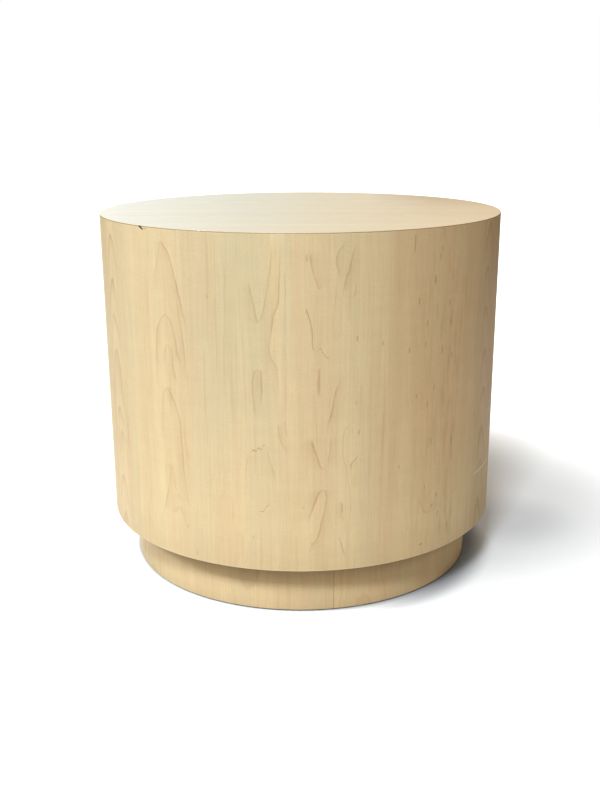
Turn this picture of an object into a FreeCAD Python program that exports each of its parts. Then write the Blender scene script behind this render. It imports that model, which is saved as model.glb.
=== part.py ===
"""Drum side table: a laminate-clad cylinder that stands on a smaller, recessed plinth.

The drum is a frame of ribs and stiles with two layers of bending plywood rolled round it. A particle-board
top sits on the frame, and decorative laminate is glued over the wall and then over the top. The plinth is two
plywood rings on blocks, wrapped the same way and screwed to the drum from below. Four levelling glides screw
into the plinth's lower ring.

Sizes are in millimetres. +Z is up, the origin is on the floor under the drum's axis, and the front faces -Y.
Angles are in degrees from the front, counter-clockwise as seen from above.
"""

import FreeCAD, Part

import math
import os

# Overall size
DRUM_DIAMETER = 610.0  # over the laminate
PLINTH_DIAMETER = 540.0  # over the laminate
TABLE_HEIGHT = 546.0  # floor to table top, with the glides screwed right in
PLINTH_HEIGHT = 80.0  # floor to the underside of the drum
FLOOR_GAP = 2.0  # floor to the lower edge of the plinth's wall

# Sheet goods
SIDE_LAMINATE = 1.0
TOP_LAMINATE = 1.2
BENDING_PLY = 5.0  # each of the two layers of a wall
TOP_CORE = 25.0
RIB_BOARD = 18.0
BOTTOM_PANEL = 18.0
PLINTH_BOARD = 18.0
GLUE_LINE = 0.1  # left between glued flat faces
ROLLED_GLUE_LINE = 0.3  # left between glued rolled faces

# Trimmed edges and seams of the sheets
TRIM_ANGLE = 20.0  # lean of the top laminate's trimmed edge from upright
EASED_EDGE = 0.3  # filed corner on the wall laminate's long edges
LAMINATE_SEAM = 0.4
PLY_SEAM = 1.0
DRUM_FRONT_SWEEP = 229.0  # degrees that a full-width sheet reaches round the drum
PLINTH_LONG_SWEEP = 259.0  # degrees that a full-width sheet reaches round the plinth
PLINTH_SEAM_ANGLE = 9.8  # where the plinth's seam shows at the front
OUTER_PLY_SEAM_ANGLE = 180.0
INNER_PLY_SEAM_ANGLE = 0.0

# Drum frame
STILE_COUNT = 8  # in each of the two tiers
STILE_WIDTH = 60.0
STILE_DEPTH = 20.0
RIB_WIDTH = 70.0

# Plinth frame
UPPER_RING_WIDTH = 75.0  # wider than the lower ring, so that its screws can be reached from below
LOWER_RING_WIDTH = 52.0
BLOCK_COUNT = 8
BLOCK_WIDTH = 60.0
BLOCK_DEPTH = 40.0

# Countersunk wood screws
SCREW_DIAMETER = 4.0
SCREW_HEAD_DIAMETER = 8.0
SCREW_HEAD_DEPTH = 2.6
SCREW_POINT = 5.0
SCREW_CLEARANCE = 0.1
STILE_SCREW_BITE = 22.0  # how far each kind of screw reaches into its second piece
TOP_SCREW_BITE = 16.0
PLINTH_SCREW_BITE = 13.0
BLOCK_SCREW_BITE = 20.0
BLOCK_SCREW_SPREAD = 24.0  # between the upper and lower screw of a block

# Levelling glides
LEVELLER_COUNT = 4
LEVELLER_FIRST_ANGLE = 45.0
LEVELLER_TRAVEL = 12.0
STEM_DIAMETER = 8.0
STEM_CHAMFER = 1.0
STEM_SPARE = 2.0  # thread that still stands above the nut with the glide screwed right out
NUT_CLEARANCE = 0.08
HEX_ACROSS_FLATS = 13.0
HEX_THICKNESS = 3.4
HEX_GAP = 0.3  # above and below the hexagon with the glide screwed right in
FOOT_DIAMETER = 11.0  # disc on the stem's end, held in the pad
FOOT_THICKNESS = 3.0
NECK_DIAMETER = 6.8
SOCKET_CLEARANCE = 0.1
PAD_DIAMETER = 28.0
PAD_HEIGHT = 8.0
PAD_RIM = 3.5
PAD_HUB_DIAMETER = 19.0
PAD_FLOOR = 2.8
PAD_FILLET = 1.0

# Pronged nuts, driven up into the plinth's lower ring
NUT_FLANGE_DIAMETER = 24.0
NUT_FLANGE = 1.6
NUT_BARREL_DIAMETER = 10.4
NUT_BARREL = 12.0
NUT_HOLE_CLEARANCE = 0.1
PRONG_COUNT = 4
PRONG_WIDTH = 4.0
PRONG_LENGTH = 7.0

# Radii of the drum, from the laminate inwards
drum_radius = DRUM_DIAMETER / 2
outer_ply_radius = drum_radius - SIDE_LAMINATE - ROLLED_GLUE_LINE
inner_ply_radius = outer_ply_radius - BENDING_PLY - ROLLED_GLUE_LINE
frame_radius = inner_ply_radius - BENDING_PLY - ROLLED_GLUE_LINE
stile_screw_radius = frame_radius - STILE_DEPTH / 2
top_screw_radius = frame_radius - RIB_WIDTH / 2

# Radii of the plinth, from the laminate inwards
plinth_radius = PLINTH_DIAMETER / 2
plinth_outer_ply_radius = plinth_radius - SIDE_LAMINATE - ROLLED_GLUE_LINE
plinth_inner_ply_radius = plinth_outer_ply_radius - BENDING_PLY - ROLLED_GLUE_LINE
ring_radius = plinth_inner_ply_radius - BENDING_PLY - ROLLED_GLUE_LINE
leveller_radius = ring_radius - LOWER_RING_WIDTH / 2
plinth_screw_radius = ring_radius - (UPPER_RING_WIDTH + LOWER_RING_WIDTH) / 2
block_screw_radius = ring_radius - BLOCK_DEPTH / 2

# Heights of the drum, from the table top down
top_laminate_underside = TABLE_HEIGHT - TOP_LAMINATE
core_top = top_laminate_underside - GLUE_LINE
core_underside = core_top - TOP_CORE
top_rib_underside = core_underside - RIB_BOARD
panel_top = PLINTH_HEIGHT + BOTTOM_PANEL
mid_rib_underside = (panel_top + top_rib_underside - RIB_BOARD) / 2
mid_rib_top = mid_rib_underside + RIB_BOARD

# Heights of a glide and of the plinth that it carries, from the floor up
socket_top = PAD_FLOOR + FOOT_THICKNESS + 2 * SOCKET_CLEARANCE
hex_underside = PAD_HEIGHT + HEX_GAP
hex_top = hex_underside + HEX_THICKNESS
nut_flange_underside = hex_top + HEX_GAP
lower_ring_underside = nut_flange_underside + NUT_FLANGE
lower_ring_top = lower_ring_underside + PLINTH_BOARD
upper_ring_underside = PLINTH_HEIGHT - PLINTH_BOARD
nut_barrel_top = lower_ring_underside + NUT_BARREL
stem_top = nut_barrel_top + LEVELLER_TRAVEL + STEM_SPARE

ORIGIN = FreeCAD.Vector(0, 0, 0)
UP = FreeCAD.Vector(0, 0, 1)
SIDEWAYS = FreeCAD.Vector(1, 0, 0)


# Shared shapes


def turned(shape, angle):
    """A copy of the shape, turned about the drum's axis."""
    return shape.rotated(ORIGIN, UP, angle)


def at_front(shape, radius, height=0.0, sideways=0.0):
    """A copy of the shape, moved from the origin to a place at the front."""
    return shape.translated(FreeCAD.Vector(sideways, -radius, height))


def around(shape, count, first_angle=0.0):
    """Copies of a shape at the front, evenly spaced about the drum's axis."""
    return [turned(shape, first_angle + 360.0 * i / count) for i in range(count)]


def revolved(outline, sweep=360.0, start=0.0):
    """A solid of revolution from (radius, height) corners."""
    corners = [FreeCAD.Vector(0, -radius, height) for radius, height in outline]
    face = Part.Face(Part.makePolygon(corners + corners[:1]))
    return turned(face.revolve(ORIGIN, UP, sweep), start)


def disc(radius, low, high):
    return Part.makeCylinder(radius, high - low, FreeCAD.Vector(0, 0, low))


def ring(outer, width, low, high):
    inner = outer - width
    return revolved([(inner, low), (outer, low), (outer, high), (inner, high)])


def rolled_sheet(outer, thickness, low, high, start, sweep, eased=0.0):
    """A sheet rolled round the axis. Its outer long edges are square, or eased by a small bevel."""
    inner = outer - thickness
    face = [(outer, low), (outer, high)]
    if eased:
        face = [(outer - eased, low), (outer, low + eased), (outer, high - eased), (outer - eased, high)]
    return revolved([(inner, low), *face, (inner, high)], sweep, start)


def post(frame, width, depth, low, high):
    """An upright board at the front, its outer face planed to the frame's radius."""
    blank = Part.makeBox(width, depth, high - low, FreeCAD.Vector(-width / 2, -frame, low))
    return blank.common(disc(frame, low, high))


def degrees_along(length, radius):
    """The angle that a length of arc spans."""
    return math.degrees(length / radius)


# Screws


def screw_outline(length, grown):
    """(radius, height) corners of a screw driven upwards, its head flush with height 0."""
    shank = SCREW_DIAMETER / 2 + grown
    head = SCREW_HEAD_DIAMETER / 2 + grown
    shoulder = length - SCREW_POINT
    return [(0, 0), (head, 0), (shank, SCREW_HEAD_DEPTH), (shank, shoulder), (0, length + grown)]


def screw_and_hole(length, radius, height, upwards, sideways=0.0):
    """One screw at the front, and the countersunk hole that it needs."""
    pair = []
    for grown in (0.0, SCREW_CLEARANCE):
        shape = revolved(screw_outline(length, grown))
        if not upwards:
            shape = shape.rotated(ORIGIN, SIDEWAYS, 180)
        pair.append(at_front(shape, radius, height, sideways))
    return pair


tier_step = 360.0 / STILE_COUNT / 2  # upper stiles stand between the lower ones
block_step = 360.0 / BLOCK_COUNT / 2  # blocks stand clear of the glides
stile_screw_length = RIB_BOARD + STILE_SCREW_BITE
panel_screw_length = BOTTOM_PANEL + STILE_SCREW_BITE
top_screw_length = RIB_BOARD + TOP_SCREW_BITE
plinth_screw_length = PLINTH_BOARD + PLINTH_SCREW_BITE
block_screw_length = PLINTH_BOARD + BLOCK_SCREW_BITE
half_spread = BLOCK_SCREW_SPREAD / 2

panel_to_stile = screw_and_hole(panel_screw_length, stile_screw_radius, PLINTH_HEIGHT, True)
rib_to_lower_stile = screw_and_hole(stile_screw_length, stile_screw_radius, mid_rib_top, False)
rib_to_upper_stile = screw_and_hole(stile_screw_length, stile_screw_radius, mid_rib_underside, True)
top_rib_to_stile = screw_and_hole(stile_screw_length, stile_screw_radius, core_underside, False)
rib_to_core = screw_and_hole(top_screw_length, top_screw_radius, top_rib_underside, True)
ring_to_panel = screw_and_hole(plinth_screw_length, plinth_screw_radius, upper_ring_underside, True)
upper_ring_to_block = screw_and_hole(
    block_screw_length, block_screw_radius, PLINTH_HEIGHT, False, half_spread
)
lower_ring_to_block = screw_and_hole(
    block_screw_length, block_screw_radius, lower_ring_underside, True, -half_spread
)


def screws():
    """Each set of like screws as a group of solids."""
    lower_tier = [panel_to_stile, rib_to_lower_stile]
    upper_tier = [rib_to_upper_stile, top_rib_to_stile]
    stile_set = [s for screw, _ in lower_tier for s in around(screw, STILE_COUNT)]
    stile_set += [s for screw, _ in upper_tier for s in around(screw, STILE_COUNT, tier_step)]
    block_pairs = [upper_ring_to_block, lower_ring_to_block]
    block_set = [s for screw, _ in block_pairs for s in around(screw, BLOCK_COUNT, block_step)]
    return {
        "stile_screws": Part.makeCompound(stile_set),
        "top_screws": Part.makeCompound(around(rib_to_core[0], STILE_COUNT)),
        "plinth_screws": Part.makeCompound(around(ring_to_panel[0], BLOCK_COUNT)),
        "block_screws": Part.makeCompound(block_set),
    }


# Drum


def drum_frame():
    """Bottom panel, ribs and the two tiers of stiles."""
    lower_angles = (STILE_COUNT, 0.0)
    upper_angles = (STILE_COUNT, tier_step)

    panel = disc(frame_radius, PLINTH_HEIGHT, panel_top)
    panel_holes = around(panel_to_stile[1], *lower_angles) + around(ring_to_panel[1], BLOCK_COUNT)
    mid_rib = ring(frame_radius, RIB_WIDTH, mid_rib_underside, mid_rib_top)
    mid_holes = around(rib_to_lower_stile[1], *lower_angles) + around(rib_to_upper_stile[1], *upper_angles)
    top_rib = ring(frame_radius, RIB_WIDTH, top_rib_underside, core_underside)
    top_holes = around(top_rib_to_stile[1], *upper_angles) + around(rib_to_core[1], *lower_angles)
    frame = {
        "bottom_panel": panel.cut(panel_holes),
        "mid_rib": mid_rib.cut(mid_holes),
        "top_rib": top_rib.cut(top_holes),
    }

    lower_stile = post(frame_radius, STILE_WIDTH, STILE_DEPTH, panel_top, mid_rib_underside)
    lower_stile = lower_stile.cut([panel_to_stile[1], rib_to_lower_stile[1]])
    upper_stile = post(frame_radius, STILE_WIDTH, STILE_DEPTH, mid_rib_top, top_rib_underside)
    upper_stile = upper_stile.cut([rib_to_upper_stile[1], top_rib_to_stile[1]])
    for i, stile in enumerate(around(lower_stile, *lower_angles), start=1):
        frame[f"lower_stile_{i}"] = stile
    for i, stile in enumerate(around(upper_stile, *upper_angles), start=1):
        frame[f"upper_stile_{i}"] = stile
    return frame


def ply_layers(outer, inner, low, high):
    """The outer and inner layer of a wall, each with one butt seam, on opposite sides."""
    layers = []
    for radius, seam_angle in ((outer, OUTER_PLY_SEAM_ANGLE), (inner, INNER_PLY_SEAM_ANGLE)):
        seam = degrees_along(PLY_SEAM, radius)
        layers.append(rolled_sheet(radius, BENDING_PLY, low, high, seam_angle + seam / 2, 360.0 - seam))
    return layers


def laminate_pair(radius, low, high, long_start, long_sweep):
    """A full-width sheet of wall laminate, and the shorter one that closes the rest of the wall."""
    seam = degrees_along(LAMINATE_SEAM, radius)
    short_sweep = 360.0 - long_sweep - 2 * seam
    long_sheet = rolled_sheet(radius, SIDE_LAMINATE, low, high, long_start, long_sweep, EASED_EDGE)
    short_start = long_start + long_sweep + seam
    short_sheet = rolled_sheet(radius, SIDE_LAMINATE, low, high, short_start, short_sweep, EASED_EDGE)
    return long_sheet, short_sheet


def drum_skin():
    """Plywood wall, top board and the laminate over both."""
    outer_ply, inner_ply = ply_layers(
        outer_ply_radius, inner_ply_radius, PLINTH_HEIGHT, core_underside - GLUE_LINE
    )
    top_core = disc(outer_ply_radius, core_underside, core_top).cut(around(rib_to_core[1], STILE_COUNT))
    front, back = laminate_pair(
        drum_radius, PLINTH_HEIGHT, core_top, -DRUM_FRONT_SWEEP / 2, DRUM_FRONT_SWEEP
    )
    trim = TOP_LAMINATE * math.tan(math.radians(TRIM_ANGLE))
    top_laminate = Part.makeCone(
        drum_radius, drum_radius - trim, TOP_LAMINATE, FreeCAD.Vector(0, 0, top_laminate_underside)
    )
    return {
        "drum_outer_ply": outer_ply,
        "drum_inner_ply": inner_ply,
        "top_core": top_core,
        "drum_laminate_front": front,
        "drum_laminate_back": back,
        "top_laminate": top_laminate,
    }


# Plinth


def plinth_frame():
    """Upper and lower ring, with the blocks that hold them apart."""
    upper_ring = ring(ring_radius, UPPER_RING_WIDTH, upper_ring_underside, PLINTH_HEIGHT)
    upper_holes = around(ring_to_panel[1], BLOCK_COUNT)
    upper_holes += around(upper_ring_to_block[1], BLOCK_COUNT, block_step)
    lower_ring = ring(ring_radius, LOWER_RING_WIDTH, lower_ring_underside, lower_ring_top)
    lower_holes = around(lower_ring_to_block[1], BLOCK_COUNT, block_step)
    lower_holes += around(nut_seat(), LEVELLER_COUNT, LEVELLER_FIRST_ANGLE)
    frame = {
        "plinth_upper_ring": upper_ring.cut(upper_holes),
        "plinth_lower_ring": lower_ring.cut(lower_holes),
    }

    block = post(ring_radius, BLOCK_WIDTH, BLOCK_DEPTH, lower_ring_top, upper_ring_underside)
    block = block.cut([upper_ring_to_block[1], lower_ring_to_block[1]])
    for i, copy in enumerate(around(block, BLOCK_COUNT, block_step), start=1):
        frame[f"plinth_block_{i}"] = copy
    return frame


def plinth_skin():
    """Plywood wall and laminate of the plinth. A seam of the long sheet shows at the front."""
    outer_ply, inner_ply = ply_layers(
        plinth_outer_ply_radius, plinth_inner_ply_radius, FLOOR_GAP, PLINTH_HEIGHT
    )
    half_seam = degrees_along(LAMINATE_SEAM, plinth_radius) / 2
    long_start = PLINTH_SEAM_ANGLE - half_seam - PLINTH_LONG_SWEEP
    long_sheet, short_sheet = laminate_pair(
        plinth_radius, FLOOR_GAP, PLINTH_HEIGHT, long_start, PLINTH_LONG_SWEEP
    )
    return {
        "plinth_outer_ply": outer_ply,
        "plinth_inner_ply": inner_ply,
        "plinth_laminate_long": long_sheet,
        "plinth_laminate_short": short_sheet,
    }


# Levelling glides


def nut_prongs():
    """The spikes on the nut's flange, with the nut's axis on the drum's."""
    rim = NUT_FLANGE_DIAMETER / 2
    tip_height = lower_ring_underside + PRONG_LENGTH
    corners = [
        FreeCAD.Vector(-PRONG_WIDTH / 2, -rim, lower_ring_underside),
        FreeCAD.Vector(PRONG_WIDTH / 2, -rim, lower_ring_underside),
        FreeCAD.Vector(0, -rim, tip_height),
    ]
    spike = Part.Face(Part.makePolygon(corners + corners[:1]))
    inwards = FreeCAD.Vector(0, NUT_FLANGE, 0)
    inside_rim = disc(rim, lower_ring_underside, tip_height)
    return around(spike.extrude(inwards).common(inside_rim), PRONG_COUNT)


def nut_seat():
    """What the lower ring loses to one nut: the barrel's hole and the slots of its prongs."""
    hole = disc(NUT_BARREL_DIAMETER / 2 + NUT_HOLE_CLEARANCE, lower_ring_underside, lower_ring_top)
    return at_front(hole.fuse(nut_prongs()), leveller_radius)


def leveller_nut():
    """A pronged nut. The table's weight presses the lower ring on to its flange."""
    bore = STEM_DIAMETER / 2 + NUT_CLEARANCE
    barrel = NUT_BARREL_DIAMETER / 2
    flange = NUT_FLANGE_DIAMETER / 2
    body = revolved(
        [
            (bore, nut_flange_underside),
            (flange, nut_flange_underside),
            (flange, lower_ring_underside),
            (barrel, lower_ring_underside),
            (barrel, nut_barrel_top),
            (bore, nut_barrel_top),
        ]
    )
    return at_front(body.fuse(nut_prongs()).removeSplitter(), leveller_radius)


def leveller_stem():
    """A threaded stem with a hexagon to turn it by, and a disc that the pad holds."""
    foot_low = PAD_FLOOR + SOCKET_CLEARANCE
    foot_high = foot_low + FOOT_THICKNESS
    neck = NECK_DIAMETER / 2
    foot = FOOT_DIAMETER / 2
    thread = STEM_DIAMETER / 2
    rod = revolved(
        [
            (0, foot_low),
            (foot, foot_low),
            (foot, foot_high),
            (neck, foot_high),
            (neck, hex_top),
            (thread, hex_top),
            (thread, stem_top - STEM_CHAMFER),
            (thread - STEM_CHAMFER, stem_top),
            (0, stem_top),
        ]
    )
    corner = FreeCAD.Vector(0, -HEX_ACROSS_FLATS / math.sqrt(3), hex_underside)
    corners = [FreeCAD.Rotation(UP, 60 * i).multVec(corner) for i in range(6)]
    hexagon = Part.Face(Part.makePolygon(corners + corners[:1]))
    nut = hexagon.extrude(FreeCAD.Vector(0, 0, HEX_THICKNESS))
    return at_front(rod.fuse(nut).removeSplitter(), leveller_radius)


def leveller_pad():
    """A moulded pad whose socket closes over the stem's disc."""
    rim = PAD_DIAMETER / 2
    lip = NECK_DIAMETER / 2 + SOCKET_CLEARANCE
    socket = FOOT_DIAMETER / 2 + SOCKET_CLEARANCE
    pad = revolved(
        [
            (0, 0),
            (rim, 0),
            (rim, PAD_RIM),
            (PAD_HUB_DIAMETER / 2, PAD_HEIGHT),
            (lip, PAD_HEIGHT),
            (lip, socket_top),
            (socket, socket_top),
            (socket, PAD_FLOOR),
            (0, PAD_FLOOR),
        ]
    )
    circles = [edge for edge in pad.Edges if isinstance(edge.Curve, Part.Circle)]
    rim_edges = [edge for edge in circles if math.isclose(edge.Curve.Radius, rim)]
    return at_front(pad.makeFillet(PAD_FILLET, rim_edges), leveller_radius)


def levellers():
    """The nuts as one group, and each glide's stem and pad."""
    places = (LEVELLER_COUNT, LEVELLER_FIRST_ANGLE)
    pieces = {"leveller_nuts": Part.makeCompound(around(leveller_nut(), *places))}
    for i, stem in enumerate(around(leveller_stem(), *places), start=1):
        pieces[f"leveller_stem_{i}"] = stem
    for i, pad in enumerate(around(leveller_pad(), *places), start=1):
        pieces[f"leveller_pad_{i}"] = pad
    return pieces


def main():
    os.makedirs("parts", exist_ok=True)
    sections = (drum_frame, drum_skin, plinth_frame, plinth_skin, levellers, screws)
    for section in sections:
        for name, shape in section().items():
            solids = shape.Solids
            whole = solids[0] if len(solids) == 1 else Part.makeCompound(solids)
            whole.exportStep(f"parts/{name}.step")


main()
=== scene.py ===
"""Drum side table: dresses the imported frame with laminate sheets, bare boards, screws and levelling glides.

Lengths are in metres, in the frame's own axes: +Z is up and the front faces -Y. Angles run counter-clockwise
from the front as seen from above, so +X lies at 90 degrees. "Across" and "along" are measured on a sheet,
across and along its grain; on the walls they are the length round the wall from the front, and the height.
"""
import math

import bmesh
import bpy
from bpy.props import FloatProperty, FloatVectorProperty, PointerProperty
from mathutils import Matrix, Vector


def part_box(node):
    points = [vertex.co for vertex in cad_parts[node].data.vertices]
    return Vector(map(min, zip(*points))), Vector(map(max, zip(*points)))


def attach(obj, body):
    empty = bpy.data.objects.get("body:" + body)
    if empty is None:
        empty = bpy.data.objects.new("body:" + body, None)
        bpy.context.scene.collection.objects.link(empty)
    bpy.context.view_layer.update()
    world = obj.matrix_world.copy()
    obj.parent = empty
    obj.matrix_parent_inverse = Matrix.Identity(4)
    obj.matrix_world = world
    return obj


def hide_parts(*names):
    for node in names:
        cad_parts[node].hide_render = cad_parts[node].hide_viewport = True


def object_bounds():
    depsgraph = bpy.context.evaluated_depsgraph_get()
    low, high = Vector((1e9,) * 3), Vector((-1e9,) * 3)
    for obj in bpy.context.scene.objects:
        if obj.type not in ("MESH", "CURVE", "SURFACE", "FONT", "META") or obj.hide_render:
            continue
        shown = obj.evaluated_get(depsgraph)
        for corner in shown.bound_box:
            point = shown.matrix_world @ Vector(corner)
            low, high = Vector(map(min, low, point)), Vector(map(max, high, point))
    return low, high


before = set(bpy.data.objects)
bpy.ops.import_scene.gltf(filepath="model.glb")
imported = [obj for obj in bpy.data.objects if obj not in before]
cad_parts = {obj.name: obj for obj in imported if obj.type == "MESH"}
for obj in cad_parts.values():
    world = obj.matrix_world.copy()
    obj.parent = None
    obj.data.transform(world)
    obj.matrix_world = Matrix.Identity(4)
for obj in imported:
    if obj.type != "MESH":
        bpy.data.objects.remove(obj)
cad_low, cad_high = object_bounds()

bl_info = {
    "name": "Drum Side Table",
    "version": (1, 0, 0),
    "blender": (4, 5, 0),
    "location": "View3D > Sidebar > Drum Table",
    "description": "Dresses a laminate-clad drum side table and sets it in a white studio",
    "category": "Object",
}

MM = 0.001
WHITE = (1.0, 1.0, 1.0, 1.0)
GRAIN_MAP = "Grain"
SHARP_EDGE = math.radians(40)
QUARTER_ROUND = tuple(math.radians(turn) for turn in (0, 30, 60, 90))  # steps round a filed edge
ARCH_POWER = 2.4  # how fast the arms of a grain arch turn upright
ARCH_DROP = 0.1  # how far an arm has come down where it is one spread away from the tip

# Grain lines of the drum's maple print in front, each as (strength, shaded side, points): a line runs down
# through points (across, along) in millimetres and shades off to the right (1), the left (-1) or nowhere (0)
DRUM_LINES = (
    (0.5, 1, ((-200, 529), (-207, 502), (-212, 481), (-212, 452))),
    (0.9, -1, ((-200, 529), (-191, 521), (-184, 508), (-176, 481), (-168, 450), (-160, 418), (-156, 402))),
    (0.6, -1, ((-175, 470), (-172, 443), (-165, 391), (-160, 326))),
    (0.7, 1, ((-197, 432), (-207, 419), (-213, 401), (-215, 374), (-217, 329))),
    (0.8, -1, ((-197, 432), (-188, 425), (-182, 410), (-176, 383), (-169, 354))),
    (0.6, 1, ((-194, 390), (-200, 378), (-201, 359))),
    (0.7, -1, ((-194, 390), (-186, 382), (-184, 356), (-176, 332))),
    (0.6, 1, ((-196, 329), (-204, 321), (-209, 292), (-210, 270), (-214, 237))),
    (0.7, -1, ((-196, 329), (-188, 315), (-181, 302), (-175, 270), (-172, 210), (-163, 138))),
    (0.6, 1, ((-196, 217), (-200, 191), (-206, 169), (-219, 130))),
    (0.6, -1, ((-196, 217), (-192, 206), (-187, 170))),
    (0.5, -1, ((-183, 156), (-193, 142))),
    (0.5, 1, ((-183, 156), (-171, 129))),
    (0.35, 1, ((-98, 542), (-102, 423), (-105, 307))),
    (0.8, -1, ((-68, 485), (-62, 457), (-58, 438), (-56, 430), (-49, 428))),
    (0.6, 1, ((-34, 538), (-38, 512), (-44, 471), (-53, 434), (-57, 430))),
    (0.7, -1, (
        (-25, 544), (-29, 458), (-35, 439), (-39, 418), (-41, 394), (-38, 381), (-32, 370), (-28, 312),
    )),
    (0.4, 0, ((-20, 497), (-20, 394), (-19, 362), (-20, 312))),
    (0.5, 1, ((-32, 297), (-29, 275), (-24, 262), (-16, 248))),
    (0.4, 0, ((-21, 301), (-21, 289), (-17, 272))),
    (0.6, 1, ((-58, 368), (-63, 362), (-65, 346), (-64, 327), (-60, 293))),
    (0.8, -1, ((-58, 368), (-52, 363), (-52, 338), (-56, 311))),
    (0.5, -1, ((-47, 264), (-42, 240), (-37, 223), (-35, 211))),
    (0.3, 1, ((-67, 253), (-72, 249), (-76, 224), (-79, 205))),
    (0.8, 1, ((12, 524), (13, 507), (16, 494), (19, 486), (23, 476), (25, 474))),
    (0.9, 1, ((59, 543), (55, 532), (48, 520), (46, 508), (49, 494), (49, 487), (46, 479))),
    (0.4, 0, ((46, 479), (43, 442), (42, 402))),
    (0.8, 1, ((72, 536), (67, 518), (63, 498), (58, 488), (56, 477), (54, 457))),
    (0.6, 0, ((73, 483), (71, 469), (68, 463), (64, 461))),
    (1.2, 0, ((7, 449), (9, 443), (14, 424), (15, 398), (18, 393), (23, 392))),
    (0.8, 1, ((53, 362), (50, 349), (45, 336), (42, 320), (39, 303), (35, 288), (35, 278))),
    (1.0, -1, ((13, 277), (16, 262), (22, 246), (26, 234), (30, 230), (34, 228))),
    (0.6, 1, ((39, 276), (38, 261), (36, 240), (34, 230))),
    (1.0, -1, ((32, 201), (24, 195), (19, 183), (14, 169), (8, 151))),
    (0.7, 1, ((32, 201), (33, 188), (31, 170), (27, 153), (23, 135), (16, 122), (9, 106), (5, 97))),
    (0.8, 0, ((78, 248), (72, 240), (68, 235), (67, 221))),
    (0.4, 0, ((62, 291), (56, 262), (61, 227), (67, 172), (65, 117))),
    (0.5, -1, ((54, 187), (55, 165), (60, 149))),
    (0.7, 0, ((51, 131), (56, 116), (59, 105), (61, 94))),
    (0.6, 0, ((237, 252), (240, 206))),
    (0.6, 1, ((174, 168), (183, 148), (191, 140))),
)

# Zigzags of the same print, which run from left to right, as (strength, points)
DRUM_ZIGZAGS = (
    (1.6, ((-69, 251), (-64, 256), (-62, 254), (-58, 259), (-55, 257), (-51, 263), (-47, 264))),
    (1.3, ((-61, 168), (-54, 168), (-48, 175), (-43, 179))),
    (1.2, ((18, 392), (21, 392), (24, 396), (28, 392), (33, 385), (39, 383))),
    (1.0, ((20, 483), (23, 475), (25, 477), (28, 485))),
)

# Short, soft flecks as (across, along, length) in millimetres
DRUM_FLECKS = (
    (23, 349, 44), (56, 172, 19), (7, 446, 9), (8, 514, 12), (192, 476, 16), (219, 488, 18), (222, 442, 12),
    (165, 450, 12), (180, 418, 12), (210, 378, 15), (230, 368, 9), (196, 327, 9), (200, 506, 12),
    (110, 399, 8), (74, 408, 10), (193, 250, 12), (184, 183, 8), (207, 166, 10), (-126, 461, 7),
    (-154, 91, 7), (78, 279, 8), (14, 120, 8), (165, 319, 8), (74, 320, 8), (3, 175, 6), (-185, 172, 5),
    (-170, 129, 8), (-67, 128, 6), (199, 151, 9), (211, 136, 12), (234, 112, 14), (236, 240, 19),
    (238, 219, 19), (184, 305, 10), (225, 415, 9), (178, 389, 12), (151, 385, 9), (203, 517, 9),
    (139, 222, 8),
)

# Darkness of a shaded line beside its path, which lies at 0.5: sharp on one side, slow on the other
LINE_PROFILE = ((0.0, 0.0), (0.46, 0.0), (0.5, 1.0), (0.545, 0.42), (0.7, 0.22), (1.0, 0.0))
LINE_HALF_WIDTH = 1.5 * MM
SHADE_REACH = 20 * MM  # how far the shade of a line can reach from its path
LONGEST_TIP = 4  # longest tip of a line, in millimetres
JOINED_TIP = 1.5  # tip of a line that starts together with another, in millimetres
LONG_FLECK = 20  # length in millimetres from which a fleck is wider
STRONG_FLECKS = 150  # place across in millimetres from which flecks are stronger
DRAWN_FRONT = (0.27, 0.33)  # between these places, leaves take over from the drawn lines
DARK_STREAK = ((156, 541), (156, 529), (154, 511))
PALE_SCRATCH = ((295, 170), (330, 169), (376, 170))
WALL_NICK = ((177, 96), (183, 97.5))

# Tones of the drum's print: where one comes in and goes out across, the heights it grows between, its tint
DRUM_TONES = (
    ((-0.029, -0.024), (-0.010, -0.013), (0.33, 0.43), (0.97, 1.02, 1.05, 1.0)),
    ((-0.215, -0.140), (-0.020, -0.075), (0.15, 0.46), (0.90, 0.925, 0.95, 1.0)),
    ((0.070, 0.240), (0.520, 0.420), (0.10, 0.30), (1.0, 0.92, 0.87, 1.0)),
)
MOTTLE_BAND = ((0.13, 0.20), (0.29, 0.22))  # where the mottle comes in and goes out across
EDGE_HIGHLIGHT_FADE = (81.6 * MM, 80.4 * MM)  # heights between which a painted highlight pales the drum's lower edge
PAINTED_SHADE_FADE = (40 * MM, 66 * MM)  # heights between which painted shade darkens the plinth under the drum

# The chip: its slant, what it leaves of a sheet, how much higher and how far in it runs in the top sheet
CHIP_SLANT = math.radians(-24)
LEAST_SHEET = 0.1 * MM
CHIP_LIFT = 0.6 * MM
CHIP_REACH = 3 * MM
# The bruise beside it and the close columns of the mesh, in lengths and heights of the chip from its middle
BRUISE_PLACE = (0.75, -0.2)
BRUISE_REACH = (0.26, 0.4)
CLOSE_COLUMNS = (-0.7, 1.2)
WORN = 0.05  # share of wear from which a face of the rim takes a worn finish

# Spacing of the meshes' rows and columns
WALL_ROW = 60 * MM
PLINTH_ROW = 20 * MM
CHIP_ROWS = 9 * MM  # height of the close rows under the rim
CLOSE_ROW = 0.45 * MM
CLOSE_COLUMN = 0.4 * MM

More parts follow.
